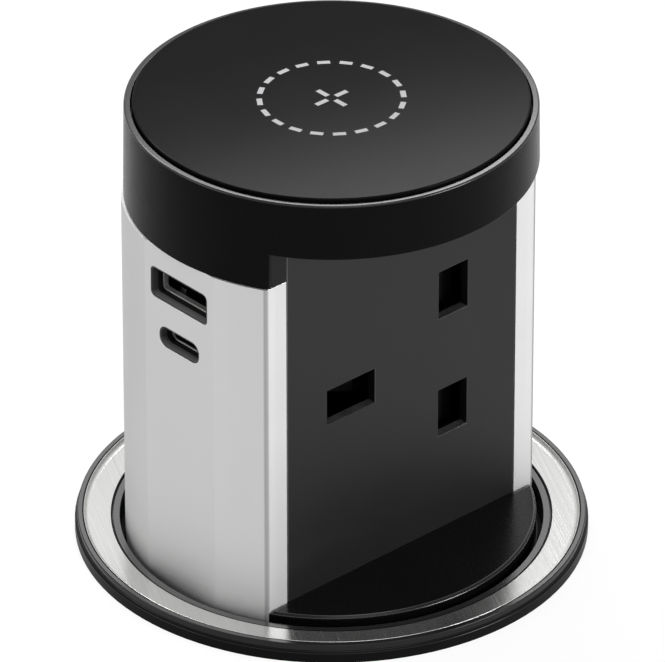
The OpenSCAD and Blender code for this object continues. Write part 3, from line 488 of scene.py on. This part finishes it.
def outer_edges(form, test):
    """The sharp outer edges that pass a test, which gets an edge's middle in mm, its distance from the
    tower's axis and the share of its run that is upright."""
    chosen = []
    for edge in form.edges:
        if len(edge.link_faces) != 2 or edge.calc_face_angle_signed(0.0) < SHARP:
            continue
        first, last = (vert.co / MM for vert in edge.verts)
        middle = (first + last) / 2
        if test(middle, math.hypot(middle.x, middle.y), abs((last - first).normalized().z)):
            chosen.append(edge)
    return chosen


def round_edges(form, edges, radius, segments):
    return bmesh.ops.bevel(
        form, geom=edges, offset=radius * MM, offset_type="OFFSET", segments=segments, profile=0.5,
        affect="EDGES", clamp_overlap=True, loop_slide=True,
    )["faces"]


def eased(node, *cuts, segments=3, sharp=SHARP, lit_or_worn_face=None):
    """Replaces a CAD node by a copy with rounded edges. A cut is a radius in mm and a test for outer_edges.
    A third number makes it a chamfer, whose own edges are rounded by that radius. Broad roundings don't
    wear. lit_or_worn_face gets a face's middle in mm and its normal, and says how far it takes the tone and
    coat of a worn edge; where a finish's tone is high this is painted light."""
    form = merged(node)
    worn_or_lit = form.faces.layers.float.new("edge")
    for radius, test, *rounding in cuts:
        made = round_edges(form, outer_edges(form, test), radius, 1 if rounding else segments)
        if rounding:
            touched = dict.fromkeys(edge for face in made for edge in face.edges)
            sides = [edge for edge in touched if edge.calc_face_angle_signed(0.0) > SHARP / 2]
            made = round_edges(form, sides, rounding[0], segments)
        for face in made:
            face[worn_or_lit] = float(radius < BROAD)
    if lit_or_worn_face:
        for face in form.faces:
            face.normal_update()
            face[worn_or_lit] = max(face[worn_or_lit], lit_or_worn_face(face.calc_center_median() / MM, face.normal))
    mesh = bpy.data.meshes.new(node)
    form.to_mesh(mesh)
    form.free()
    return stand_for(node, "_eased", mesh, sharp)


# Geometry Nodes trees

WINDING_STEPS = 64
WIRE_STEPS = 12
HEAD_STEPS = 32
SHANK_STEPS = 24
HEAD_TOP_SHARE = 0.84
RECESS_LENGTH_SHARE = 1.15
RECESS_WIDTH_SHARE = 0.26
RECESS_DEPTH_SHARE = 1.2
SHANK_END_SHARE = 0.8


def new_form_tree(name, inputs):
    """A Geometry Nodes tree that takes points and named sizes, and puts out a form in a material."""
    given = [("Points", "Geometry"), ("Material", "Material")] + inputs
    return new_group("GeometryNodeTree", name, given, [("Geometry", "Geometry")])


def realise(nodes, out, geometry, material):
    whole = nodes.add("GeometryNodeRealizeInstances", {"Geometry": geometry}).outputs[0]
    dressed = nodes.add("GeometryNodeSetMaterial", {"Geometry": whole, "Material": material}).outputs[0]
    nodes.link(dressed, out.inputs["Geometry"])


def make_wound_wire():
    """Round wire wound on a cylinder or, with no length, on a flat."""
    nodes, given, out = new_form_tree("wound_wire", [
        ("Turns", "Float"), ("Start radius", "Float"), ("End radius", "Float"), ("Length", "Float"),
        ("Wire radius", "Float"),
    ])
    path = nodes.add("GeometryNodeCurveSpiral", {
        "Resolution": WINDING_STEPS, "Rotations": given["Turns"], "Start Radius": given["Start radius"],
        "End Radius": given["End radius"], "Height": given["Length"],
    })
    section = nodes.add("GeometryNodeCurvePrimitiveCircle", {
        "Resolution": WIRE_STEPS, "Radius": given["Wire radius"],
    })
    wire = nodes.add("GeometryNodeCurveToMesh", {
        "Curve": path.outputs[0], "Profile Curve": section.outputs[0], "Fill Caps": True,
    })
    realise(nodes, out, wire.outputs[0], given["Material"])
    return nodes.tree


def make_cross_screws():
    """A screw with a cross recess at each point, turned by its attribute turn, with its head's top there."""
    nodes, given, out = new_form_tree("cross_screws", [
        ("Head radius", "Float"), ("Head height", "Float"), ("Shank radius", "Float"), ("Length", "Float"),
    ])
    head_r, head_h, shank_r = given["Head radius"], given["Head height"], given["Shank radius"]

    def lowered(geometry, depth):
        shift = nodes.scale((0.0, 0.0, -1.0), depth)
        return nodes.add("GeometryNodeTransform", {"Geometry": geometry, "Translation": shift}).outputs[0]

    head = nodes.add("GeometryNodeMeshCone", {
        "Vertices": HEAD_STEPS, "Radius Top": nodes.math("MULTIPLY", head_r, HEAD_TOP_SHARE),
        "Radius Bottom": head_r, "Depth": head_h,
    })
    long_side = nodes.math("MULTIPLY", head_r, RECESS_LENGTH_SHARE)
    short_side = nodes.math("MULTIPLY", head_r, RECESS_WIDTH_SHARE)
    deep = nodes.math("MULTIPLY", head_h, RECESS_DEPTH_SHARE)
    cut = nodes.add(
        "GeometryNodeMeshBoolean", {"Mesh 1": lowered(head.outputs[0], head_h)}, operation="DIFFERENCE",
        solver="EXACT",
    )
    for sides in ((long_side, short_side), (short_side, long_side)):
        bar = nodes.add("GeometryNodeMeshCube", {"Size": nodes.xyz(*sides, deep)}).outputs[0]
        nodes.link(bar, cut.inputs["Mesh 2"])
    shank = nodes.add("GeometryNodeMeshCone", {
        "Vertices": SHANK_STEPS, "Radius Top": shank_r,
        "Radius Bottom": nodes.math("MULTIPLY", shank_r, SHANK_END_SHARE),
        "Depth": nodes.math("SUBTRACT", given["Length"], head_h),
    })
    screw = nodes.add("GeometryNodeJoinGeometry")
    for part in (cut.outputs[0], lowered(shank.outputs[0], given["Length"])):
        nodes.link(part, screw.inputs[0])
    turn = nodes.add("GeometryNodeInputNamedAttribute", {"Name": "turn"}, data_type="FLOAT_VECTOR")
    rotation = nodes.add("FunctionNodeEulerToRotation", {0: turn.outputs[0]}).outputs[0]
    screws = nodes.add("GeometryNodeInstanceOnPoints", {
        "Points": given["Points"], "Instance": screw.outputs[0], "Rotation": rotation,
    })
    realise(nodes, out, screws.outputs[0], given["Material"])
    return nodes.tree


def make_bar_ring():
    """Bars set round a ring. Bar is their size out from the middle, along the ring and up."""
    inputs = [("Count", "Int"), ("Radius", "Float"), ("Bar", "Vector")]
    nodes, given, out = new_form_tree("bar_ring", inputs)
    ring = nodes.add("GeometryNodeMeshCircle", {"Vertices": given["Count"], "Radius": given["Radius"]})
    bar = nodes.add("GeometryNodeMeshCube", {"Size": given["Bar"]})
    step = nodes.math("DIVIDE", math.tau, given["Count"])
    turn = nodes.math("MULTIPLY", nodes.add("GeometryNodeInputIndex").outputs[0], step)
    rotation = nodes.add("FunctionNodeEulerToRotation", {0: nodes.xyz(0.0, 0.0, turn)}).outputs[0]
    bars = nodes.add("GeometryNodeInstanceOnPoints", {
        "Points": ring.outputs[0], "Instance": bar.outputs[0], "Rotation": rotation,
    })
    realise(nodes, out, bars.outputs[0], given["Material"])
    return nodes.tree


def make_bar_row():
    """Bars in a row across the tower, Step apart, centred on the origin."""
    nodes, given, out = new_form_tree("bar_row", [("Count", "Int"), ("Step", "Float"), ("Bar", "Vector")])
    half = nodes.math("MULTIPLY", nodes.math("SUBTRACT", given["Count"], 1.0), -0.5)
    first = nodes.xyz(0.0, nodes.math("MULTIPLY", half, given["Step"]), 0.0)
    row = nodes.add("GeometryNodeMeshLine", {
        "Count": given["Count"], "Start Location": first, "Offset": nodes.xyz(0.0, given["Step"], 0.0),
    })
    bar = nodes.add("GeometryNodeMeshCube", {"Size": given["Bar"]})
    bars = nodes.add("GeometryNodeInstanceOnPoints", {"Points": row.outputs[0], "Instance": bar.outputs[0]})
    realise(nodes, out, bars.outputs[0], given["Material"])
    return nodes.tree


WOUND_WIRE = make_wound_wire()
CROSS_SCREWS = make_cross_screws()
BAR_RING = make_bar_ring()
BAR_ROW = make_bar_row()


def grown(name, tree, material, sizes, points=None):
    """The mesh that a tree makes from named sizes, on a mesh of points where it takes one."""
    maker = bpy.data.objects.new(name, points or bpy.data.meshes.new(name))
    scene.collection.objects.link(maker)
    modifier = maker.modifiers.new(tree.name, "NODES")
    modifier.node_group = tree
    values = {"Material": material, **sizes}
    for socket in tree.interface.items_tree:
        if socket.in_out == "INPUT" and socket.name in values:
            modifier[socket.identifier] = values[socket.name]
    settle(maker)
    mesh = maker.data
    bpy.data.objects.remove(maker)
    return mesh


# Springs

LIFT_TURNS = 8
LIFT_WIRE = 0.8 * MM
SHUTTER_TURNS = 9
SHUTTER_WIRE = 0.2 * MM


def wind_spring(node, turns, wire, axis):
    """A round wire wound in a CAD node's box, along an axis."""
    low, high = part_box(node)
    middle = (low + high) / 2
    start, end = middle.copy(), middle.copy()
    start[axis] = low[axis] + wire
    end[axis] = high[axis] - wire
    outer = (high - low)[axis - 1] / 2 - wire
    mesh = grown(node, WOUND_WIRE, FINISHES[SLOT_OF[node]], {
        "Turns": turns, "Start radius": outer, "End radius": outer, "Length": (end - start).length,
        "Wire radius": wire,
    })
    mesh.transform(Matrix.Translation(start) @ (end - start).to_track_quat("Z", "Y").to_matrix().to_4x4())
    return stand_for(node, "_wound", mesh)


def shorten(spring):
    """Gives a spring a mesh of its own."""
    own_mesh(spring)


lift_spring = wind_spring("lift_spring", LIFT_TURNS, LIFT_WIRE, 2)
shutter_spring = wind_spring("shutter_spring", SHUTTER_TURNS, SHUTTER_WIRE, 0)
shorten(lift_spring)
shorten(shutter_spring)


# Charging coil and sleeve thread

COIL_WIRE = 0.55 * MM
COIL_PITCH = 2.05 * COIL_WIRE
COIL_TURNS = 10
THREAD_PITCH = 4 * MM
THREAD_RIDGE = 0.2 * MM
THREAD_WIRE = 0.3 * MM
THREAD_TOP = -5 * MM
THREAD_RUNOUT = 3 * MM


def wind_coil():
    """The coil's flat winding, inwards from the edge of its solid."""
    low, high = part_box("charge_coil")
    outer = high.x - COIL_WIRE
    mesh = grown("charge_coil", WOUND_WIRE, FINISHES["coil_copper"], {
        "Turns": float(COIL_TURNS), "Start radius": outer - COIL_TURNS * COIL_PITCH, "End radius": outer,
        "Length": 0.0, "Wire radius": COIL_WIRE,
    })
    mesh.transform(Matrix.Translation((0, 0, (low.z + high.z) / 2)))
    stand_for("charge_coil", "_wound", mesh)


def cut_thread():
    """A ridge on the sleeve for the clamp nut, from below the flange to above the bottom cover."""
    cover_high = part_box("bottom_cover")[1]
    bottom = cover_high.z + THREAD_RUNOUT
    length = THREAD_TOP - bottom
    radius = cover_high.x + THREAD_RIDGE - THREAD_WIRE
    mesh = grown("sleeve_thread", WOUND_WIRE, FINISHES["sleeve_black"], {
        "Turns": length / THREAD_PITCH, "Start radius": radius, "End radius": radius, "Length": length,
        "Wire radius": THREAD_WIRE,
    })
    mesh.transform(Matrix.Translation((0, 0, bottom)))
    place_piece("sleeve_thread", mesh, FINISHES["sleeve_black"], "desk_fitting")


wind_coil()
cut_thread()


# Screws

HEAD_REACH = 0.95
SHANK_REACH = 0.8


def loose_parts(node):
    """The vertices of each loose part of a CAD node, as arrays."""
    form = merged(node)
    waiting = dict.fromkeys(form.verts)
    parts = []
    while waiting:
        reached = [waiting.popitem()[0]]
        for vert in reached:
            for edge in vert.link_edges:
                other = edge.other_vert(vert)
                if other in waiting:
                    del waiting[other]
                    reached.append(other)
        parts.append(np.array([tuple(vert.co) for vert in reached]))
    form.free()
    return parts


def screw_site(points):
    """Head top, turn and sizes of one screw, read from its vertices."""
    low, high = points.min(axis=0), points.max(axis=0)
    size = high - low
    axis = min(range(3), key=lambda i: abs(size[i - 1] - size[i - 2]))
    middle = (low + high) / 2
    run = points[:, axis]
    reach = np.linalg.norm(np.delete(points - middle, axis, axis=1), axis=1)
    head_r = reach.max()
    wide = run[reach > HEAD_REACH * head_r]
    upward = high[axis] - wide.max() < wide.min() - low[axis]
    top = Vector(middle)
    top[axis] = high[axis] if upward else low[axis]
    out = Vector((0, 0, 0))
    out[axis] = 1 if upward else -1
    sizes = {
        "Head radius": float(head_r), "Head height": float(wide.max() - wide.min()),
        "Shank radius": float(reach[reach < SHANK_REACH * head_r].max()), "Length": float(size[axis]),
    }
    return top, out.to_track_quat("Z", "Y").to_euler(), sizes


def drive_screws(node):
    """Cross head screws in place of a CAD node's plain ones."""
    sites = [screw_site(points) for points in loose_parts(node)]
    points = bpy.data.meshes.new(node + "_points")
    points.from_pydata([top for top, turn, sizes in sites], [], [])
    turns = points.attributes.new("turn", "FLOAT_VECTOR", "POINT")
    for item, (top, turn, sizes) in zip(turns.data, sites):
        item.vector = tuple(turn)
    mesh = grown(node, CROSS_SCREWS, FINISHES[SLOT_OF[node]], sites[0][2], points)
    stand_for(node, "_driven", mesh)


for node in ("bottom_screws", "tie_screws", "carrier_screws", "terminal_screws", "cap_screws"):
    drive_screws(node)


# Eased pieces, with places and radii in mm

def box_mm(node):
    return [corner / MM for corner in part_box(node)]


cap_high = box_mm("cap_shell")[1]
collar_low, collar_high = box_mm("cap_collar")
shell_low, shell_high = box_mm("tower_shell")
pad_high = box_mm("charge_pad")[1]
bezel_high = box_mm("bezel")[1]
ring_low, ring_high = box_mm("steel_ring")
plate_low, plate_high = box_mm("socket_plate")

# Limits that tell a piece's edges apart
NEAR = 0.05
flange_rim = box_mm("sleeve")[1].x - 2 * NEAR
cap_rim = pad_high.x + 0.8
return_rim = shell_high.y - 1
plate_side = 24
aperture_top = plate_high.z - 2
nut_rim = 40
cover_rim = box_mm("bottom_cover")[1].x - 1

COLLAR_FRONT_WEAR = 0.45
PORT_ROUNDING = 0.08
SMALL_ROUNDINGS = {
    "usb_a_tongue": 0.2,
    "usb_c_tongue": 0.15,
    "desk_gasket": 0.12,
    "stop_bumper": 0.2,
    "cord_grommet": 0.3,
    "clamp_washer": 0.2,
}


def every_edge(at, r, up):
    return True


def at_plate_rim(at, up):
    return abs(at.x) > plate_side or up < UPRIGHT and at.z > plate_high.z - NEAR


eased(
    "bezel",
    (0.16, lambda at, r, up: at.z > bezel_high.z - NEAR and r > ring_high.x),
    (0.12, lambda at, r, up: at.z > ring_low.z + NEAR),
    lit_or_worn_face=lambda at, normal: float(normal.z < UPRIGHT),
)
eased("sleeve", (0.3, lambda at, r, up: r > flange_rim and at.z > NEAR, 0.06))
eased(
    "cap_shell",
    (0.3, lambda at, r, up: r > cap_rim and at.z > cap_high.z - NEAR),
    (0.12, lambda at, r, up: at.z > cap_high.z - NEAR),
    (0.18, lambda at, r, up: r > cap_rim and at.y < collar_low.y),
    lit_or_worn_face=lambda at, normal: float(normal.z > UPRIGHT and at.z > cap_high.z - NEAR),
)
eased("charge_pad", (0.25, lambda at, r, up: at.z > pad_high.z - NEAR))
eased(
    "cap_collar",
    (0.7, lambda at, r, up: up > UPRIGHT and at.y < collar_low.y + NEAR and r > pad_high.x),
    (0.15, lambda at, r, up: up < UPRIGHT and r > pad_high.x and at.z < collar_high.z - NEAR),
    lit_or_worn_face=lambda at, normal: COLLAR_FRONT_WEAR * (normal.y < -UPRIGHT and at.y < collar_low.y + NEAR),
)
eased(
    "tower_shell",
    (0.5, lambda at, r, up: up > UPRIGHT and at.y < shell_low.y + NEAR and r > return_rim),
    (0.08, lambda at, r, up: up < UPRIGHT or at.x < shell_low.x + NEAR),
    segments=8, sharp=FACET,
)
# Upward faces in the apertures are marked to take the plate's edge tone, as painted light.
eased(
    "socket_plate",
    (0.2, lambda at, r, up: at.y < plate_low.y + NEAR and at_plate_rim(at, up)),
    (0.1, lambda at, r, up: at.y < plate_low.y + NEAR),
    lit_or_worn_face=lambda at, normal: float(normal.z > UPRIGHT and at.z < aperture_top),
)
eased("tower_base", (0.4, lambda at, r, up: abs(at.z - plate_low.z) < NEAR, 0.08))
for node in ("usb_a_shell", "usb_c_shell"):
    eased(node, (PORT_ROUNDING, every_edge), segments=2)
for node, radius in SMALL_ROUNDINGS.items():
    eased(node, (radius, every_edge))
eased("clamp_nut", (0.5, lambda at, r, up: up < UPRIGHT and r > nut_rim))
eased("bottom_cover", (0.4, lambda at, r, up: r > cover_rim))


# Steel ring, turned with an upturned rim, in mm

RING_EDGE = 0.12
RIM_WALL = 0.12
RIM_BEND = 0.8
RING_STEPS = 192
ARC_STEPS = 12


def ring_arc(radius, height, bend, start, end):
    """Points along an arc of the ring's profile, as radius and height."""
    angles = [math.radians(start + (end - start) * step / ARC_STEPS) for step in range(ARC_STEPS + 1)]
    return [(radius + bend * math.cos(angle), height + bend * math.sin(angle)) for angle in angles]


def turn_steel_ring():
    """The steel ring, its outer edge bent up to the bezel's top."""
    inner, outer = RING_INNER / MM, ring_high.x
    floor, face, top = ring_low.z, ring_high.z, bezel_high.z
    half = RIM_WALL / 2
    profile = [
        (inner, floor),
        (outer, floor),
        *ring_arc(outer - half, top - half, half, 0, 180),
        *ring_arc(outer - RIM_WALL - RIM_BEND, face + RIM_BEND, RIM_BEND, 0, -90),
        *ring_arc(inner + RING_EDGE, face - RING_EDGE, RING_EDGE, 90, 180),
    ]
    count = len(profile)
    points = []
    faces = []
    for step in range(RING_STEPS):
        turn = math.tau * step / RING_STEPS
        points += [Vector((r * math.cos(turn), r * math.sin(turn), z)) * MM for r, z in profile]
        here, ahead = step * count, (step + 1) % RING_STEPS * count
        for i in range(count):
            j = (i + 1) % count
            faces.append((here + i, ahead + i, ahead + j, here + j))
    mesh = bpy.data.meshes.new("steel_ring")
    mesh.from_pydata(points, [], faces)
    stand_for("steel_ring", "_turned", mesh)


turn_steel_ring()


# Printed mark on the pad

PRINT_HEIGHT = 0.02 * MM
MARK_DASHES = 20
MARK_R = 11.5 * MM
MARK_BAR = (0.9 * MM, 2.1 * MM, PRINT_HEIGHT)
PLUS_ARMS = 4
PLUS_R = 2.1 * MM
PLUS_BAR = (2.4 * MM, 0.9 * MM, PRINT_HEIGHT)


def print_bars(name, count, radius, bar):
    """Bars printed in a ring on the pad's top."""
    pale = FINISHES["print_pale"]
    mesh = grown(name, BAR_RING, pale, {"Count": count, "Radius": radius, "Bar": bar})
    mesh.transform(Matrix.Translation((0, 0, pad_high.z * MM)))
    place_piece(name, mesh, pale, "tower")


print_bars("pad_mark", MARK_DASHES, MARK_R, MARK_BAR)
print_bars("pad_plus", PLUS_ARMS, PLUS_R, PLUS_BAR)


# Insulators, contacts and springs in the ports

PORT_WALL = 0.32 * MM
PORT_BACK = 1.2 * MM
CONTACT_SETBACK = 0.4 * MM
CONTACT_A = (7 * MM, 1.1 * MM, 0.2 * MM)
CONTACT_C = (4.5 * MM, 0.26 * MM, 0.06 * MM)
SPRING_STEP = 7 * MM
SPRING_DEPTH = 2.6 * MM
SPRING_BAR = (1.8 * MM, 1.3 * MM, 0.5 * MM)


def lay_bars(name, slot, count, step, bar, middle):
    """A row of bars across a port, each of the size bar, about the point middle."""
    mesh = grown(name, BAR_ROW, FINISHES[slot], {"Count": count, "Step": step, "Bar": bar})
    mesh.transform(Matrix.Translation(middle))
    place_piece(name, mesh, FINISHES[slot], "tower")


def fit_port(port, count, step, contact, under):
    """Insulator at the back of a port, and the contacts on or under its tongue."""
    low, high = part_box(port + "_shell")
    inner = (high - low) - Vector((0, 1, 1)) * 2 * PORT_WALL
    back = (PORT_BACK, inner.y, inner.z)
    back_place = (high.x - PORT_BACK / 2, 0, (low.z + high.z) / 2)
    lay_bars(port + "_back", "tongue_black", 1, 0.0, back, back_place)
    tongue_low, tongue_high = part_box(port + "_tongue")
    side = tongue_low.z if under else tongue_high.z
    front = tongue_low.x + contact[0] / 2 + CONTACT_SETBACK
    lay_bars(port + "_contacts", "contact_brass", count, step, contact, (front, 0, side))


fit_port("usb_a", count=4, step=2.3 * MM, contact=CONTACT_A, under=True)
fit_port("usb_c", count=12, step=0.5 * MM, contact=CONTACT_C, under=False)
spring_place = (PORT_FRONT + SPRING_DEPTH, 0, PORT_A_LOW + PORT_WALL + SPRING_BAR[2] / 2)
lay_bars("usb_a_springs", "bright_steel", 2, SPRING_STEP, SPRING_BAR, spring_place)


# Camera, floor and light

IMAGE_W = 665
CAMERA_AZIMUTH = math.radians(-42.306)
CAMERA_ELEVATION = math.radians(31.255)
CAMERA_DISTANCE = 1510.2 * MM
CAMERA_FOCAL_PX = 9341.0
CAMERA_REACH = 50.0
SENSOR = 36.0
AIM_Z = 36.62 * MM
AIM_RIGHT = 0.153 * MM


def towards(azimuth, elevation):
    """The direction out from the object. Azimuth 0 is towards -Y, and 90 degrees towards +X."""
    flat = math.cos(elevation)
    return Vector((math.sin(azimuth) * flat, -math.cos(azimuth) * flat, math.sin(elevation)))


aim = Vector((math.cos(CAMERA_AZIMUTH) * AIM_RIGHT, math.sin(CAMERA_AZIMUTH) * AIM_RIGHT, AIM_Z))


def set_camera():
    data = bpy.data.cameras.new("camera")
    data.sensor_width = SENSOR
    data.lens = CAMERA_FOCAL_PX * SENSOR / IMAGE_W
    data.clip_end = CAMERA_REACH
    camera = bpy.data.objects.new("camera", data)
    scene.collection.objects.link(camera)
    back = towards(CAMERA_AZIMUTH, CAMERA_ELEVATION)
    camera.location = aim + back * CAMERA_DISTANCE
    camera.rotation_euler = (-back).to_track_quat("-Z", "Y").to_euler()
    scene.camera = camera


def seen_rays(nodes):
    """1 for camera, glossy and transmission rays, which see the white surroundings."""
    path = nodes.add("ShaderNodeLightPath").outputs
    seen = nodes.math("ADD", path["Is Camera Ray"], path["Is Glossy Ray"])
    return nodes.math("MINIMUM", nodes.math("ADD", seen, path["Is Transmission Ray"]), 1.0)


FLOOR_R = 12.0
FLOOR_HOLE_R = 38 * MM
FLOOR_STEPS = 96
FLOOR_DROP = 0.02 * MM
FLOOR_PALE = (0.9, 0.9, 0.9, 1)
FLOOR_WHITE = 1.08
FLOOR_WHITE_SHARE = 0.8


def floor_finish():
    """Pale floor that shows white with a soft shadow, and nothing from below."""
    material = bpy.data.materials.new("pale_floor")
    material.use_nodes = True
    nodes = Nodes(material.node_tree)
    nodes.tree.nodes.clear()
    pale = nodes.add("ShaderNodeBsdfDiffuse", {"Color": FLOOR_PALE}).outputs[0]
    white = nodes.add("ShaderNodeEmission", {"Color": (1, 1, 1, 1), "Strength": FLOOR_WHITE}).outputs[0]
    share = nodes.math("MULTIPLY", seen_rays(nodes), FLOOR_WHITE_SHARE)
    top = nodes.add("ShaderNodeMixShader", {0: share, 1: pale, 2: white}).outputs[0]
    below = nodes.add("ShaderNodeNewGeometry").outputs["Backfacing"]
    clear = nodes.add("ShaderNodeBsdfTransparent").outputs[0]
    surface = nodes.add("ShaderNodeMixShader", {0: below, 1: top, 2: clear}).outputs[0]
    nodes.add("ShaderNodeOutputMaterial", {"Surface": surface})
    return material


def lay_floor():
    """A wide flat ring round the sleeve."""
    form = bmesh.new()
    inner = bmesh.ops.create_circle(form, segments=FLOOR_STEPS, radius=FLOOR_HOLE_R)["verts"]
    outer = bmesh.ops.create_circle(form, segments=FLOOR_STEPS, radius=FLOOR_R)["verts"]
    for i, (near, far) in enumerate(zip(inner, outer)):
        form.faces.new((near, far, outer[i - 1], inner[i - 1]))
    bmesh.ops.translate(form, verts=form.verts, vec=(0, 0, -FLOOR_DROP))
    for face in form.faces:
        face.normal_update()
        if face.normal.z < 0:
            face.normal_flip()
    mesh = bpy.data.meshes.new("floor")
    form.to_mesh(mesh)
    form.free()
    mesh.materials.append(floor_finish())
    floor = bpy.data.objects.new("floor", mesh)
    scene.collection.objects.link(floor)


AMBIENT = 0.22

# Azimuth from the camera's and elevation in degrees, then distance, width, height and power
LAMPS = {
    "right_softbox": (64, 10, 1.1, 0.44, 0.44, 9.4),
    "left_softbox": (-70, 16, 1.1, 0.56, 0.56, 2.0),
    "back_softbox": (203, 50.5, 0.22, 0.26, 0.045, 0.36),
    "front_softbox": (24, 64, 1.0, 0.5, 0.5, 2.4),
}


def set_lights():
    world = bpy.data.worlds.new("studio")
    scene.world = world
    world.use_nodes = True
    nodes = Nodes(world.node_tree)
    nodes.tree.nodes.clear()
    strength = nodes.spread(seen_rays(nodes), AMBIENT, 1.0, 0.0, 1.0)
    light = nodes.add("ShaderNodeBackground", {"Color": (1, 1, 1, 1), "Strength": strength}).outputs[0]
    nodes.add("ShaderNodeOutputWorld", {"Surface": light})
    for name, (azimuth, elevation, distance, width, height, power) in LAMPS.items():
        data = bpy.data.lights.new(name, "AREA")
        data.shape = "RECTANGLE"
        data.size = width
        data.size_y = height
        data.energy = power
        lamp = bpy.data.objects.new(name, data)
        scene.collection.objects.link(lamp)
        out = towards(CAMERA_AZIMUTH + math.radians(azimuth), math.radians(elevation))
        lamp.location = aim + out * distance
        lamp.rotation_euler = (-out).to_track_quat("-Z", "Y").to_euler()
        lamp.visible_camera = False


set_camera()
lay_floor()
set_lights()
scene.view_settings.view_transform = "Standard"
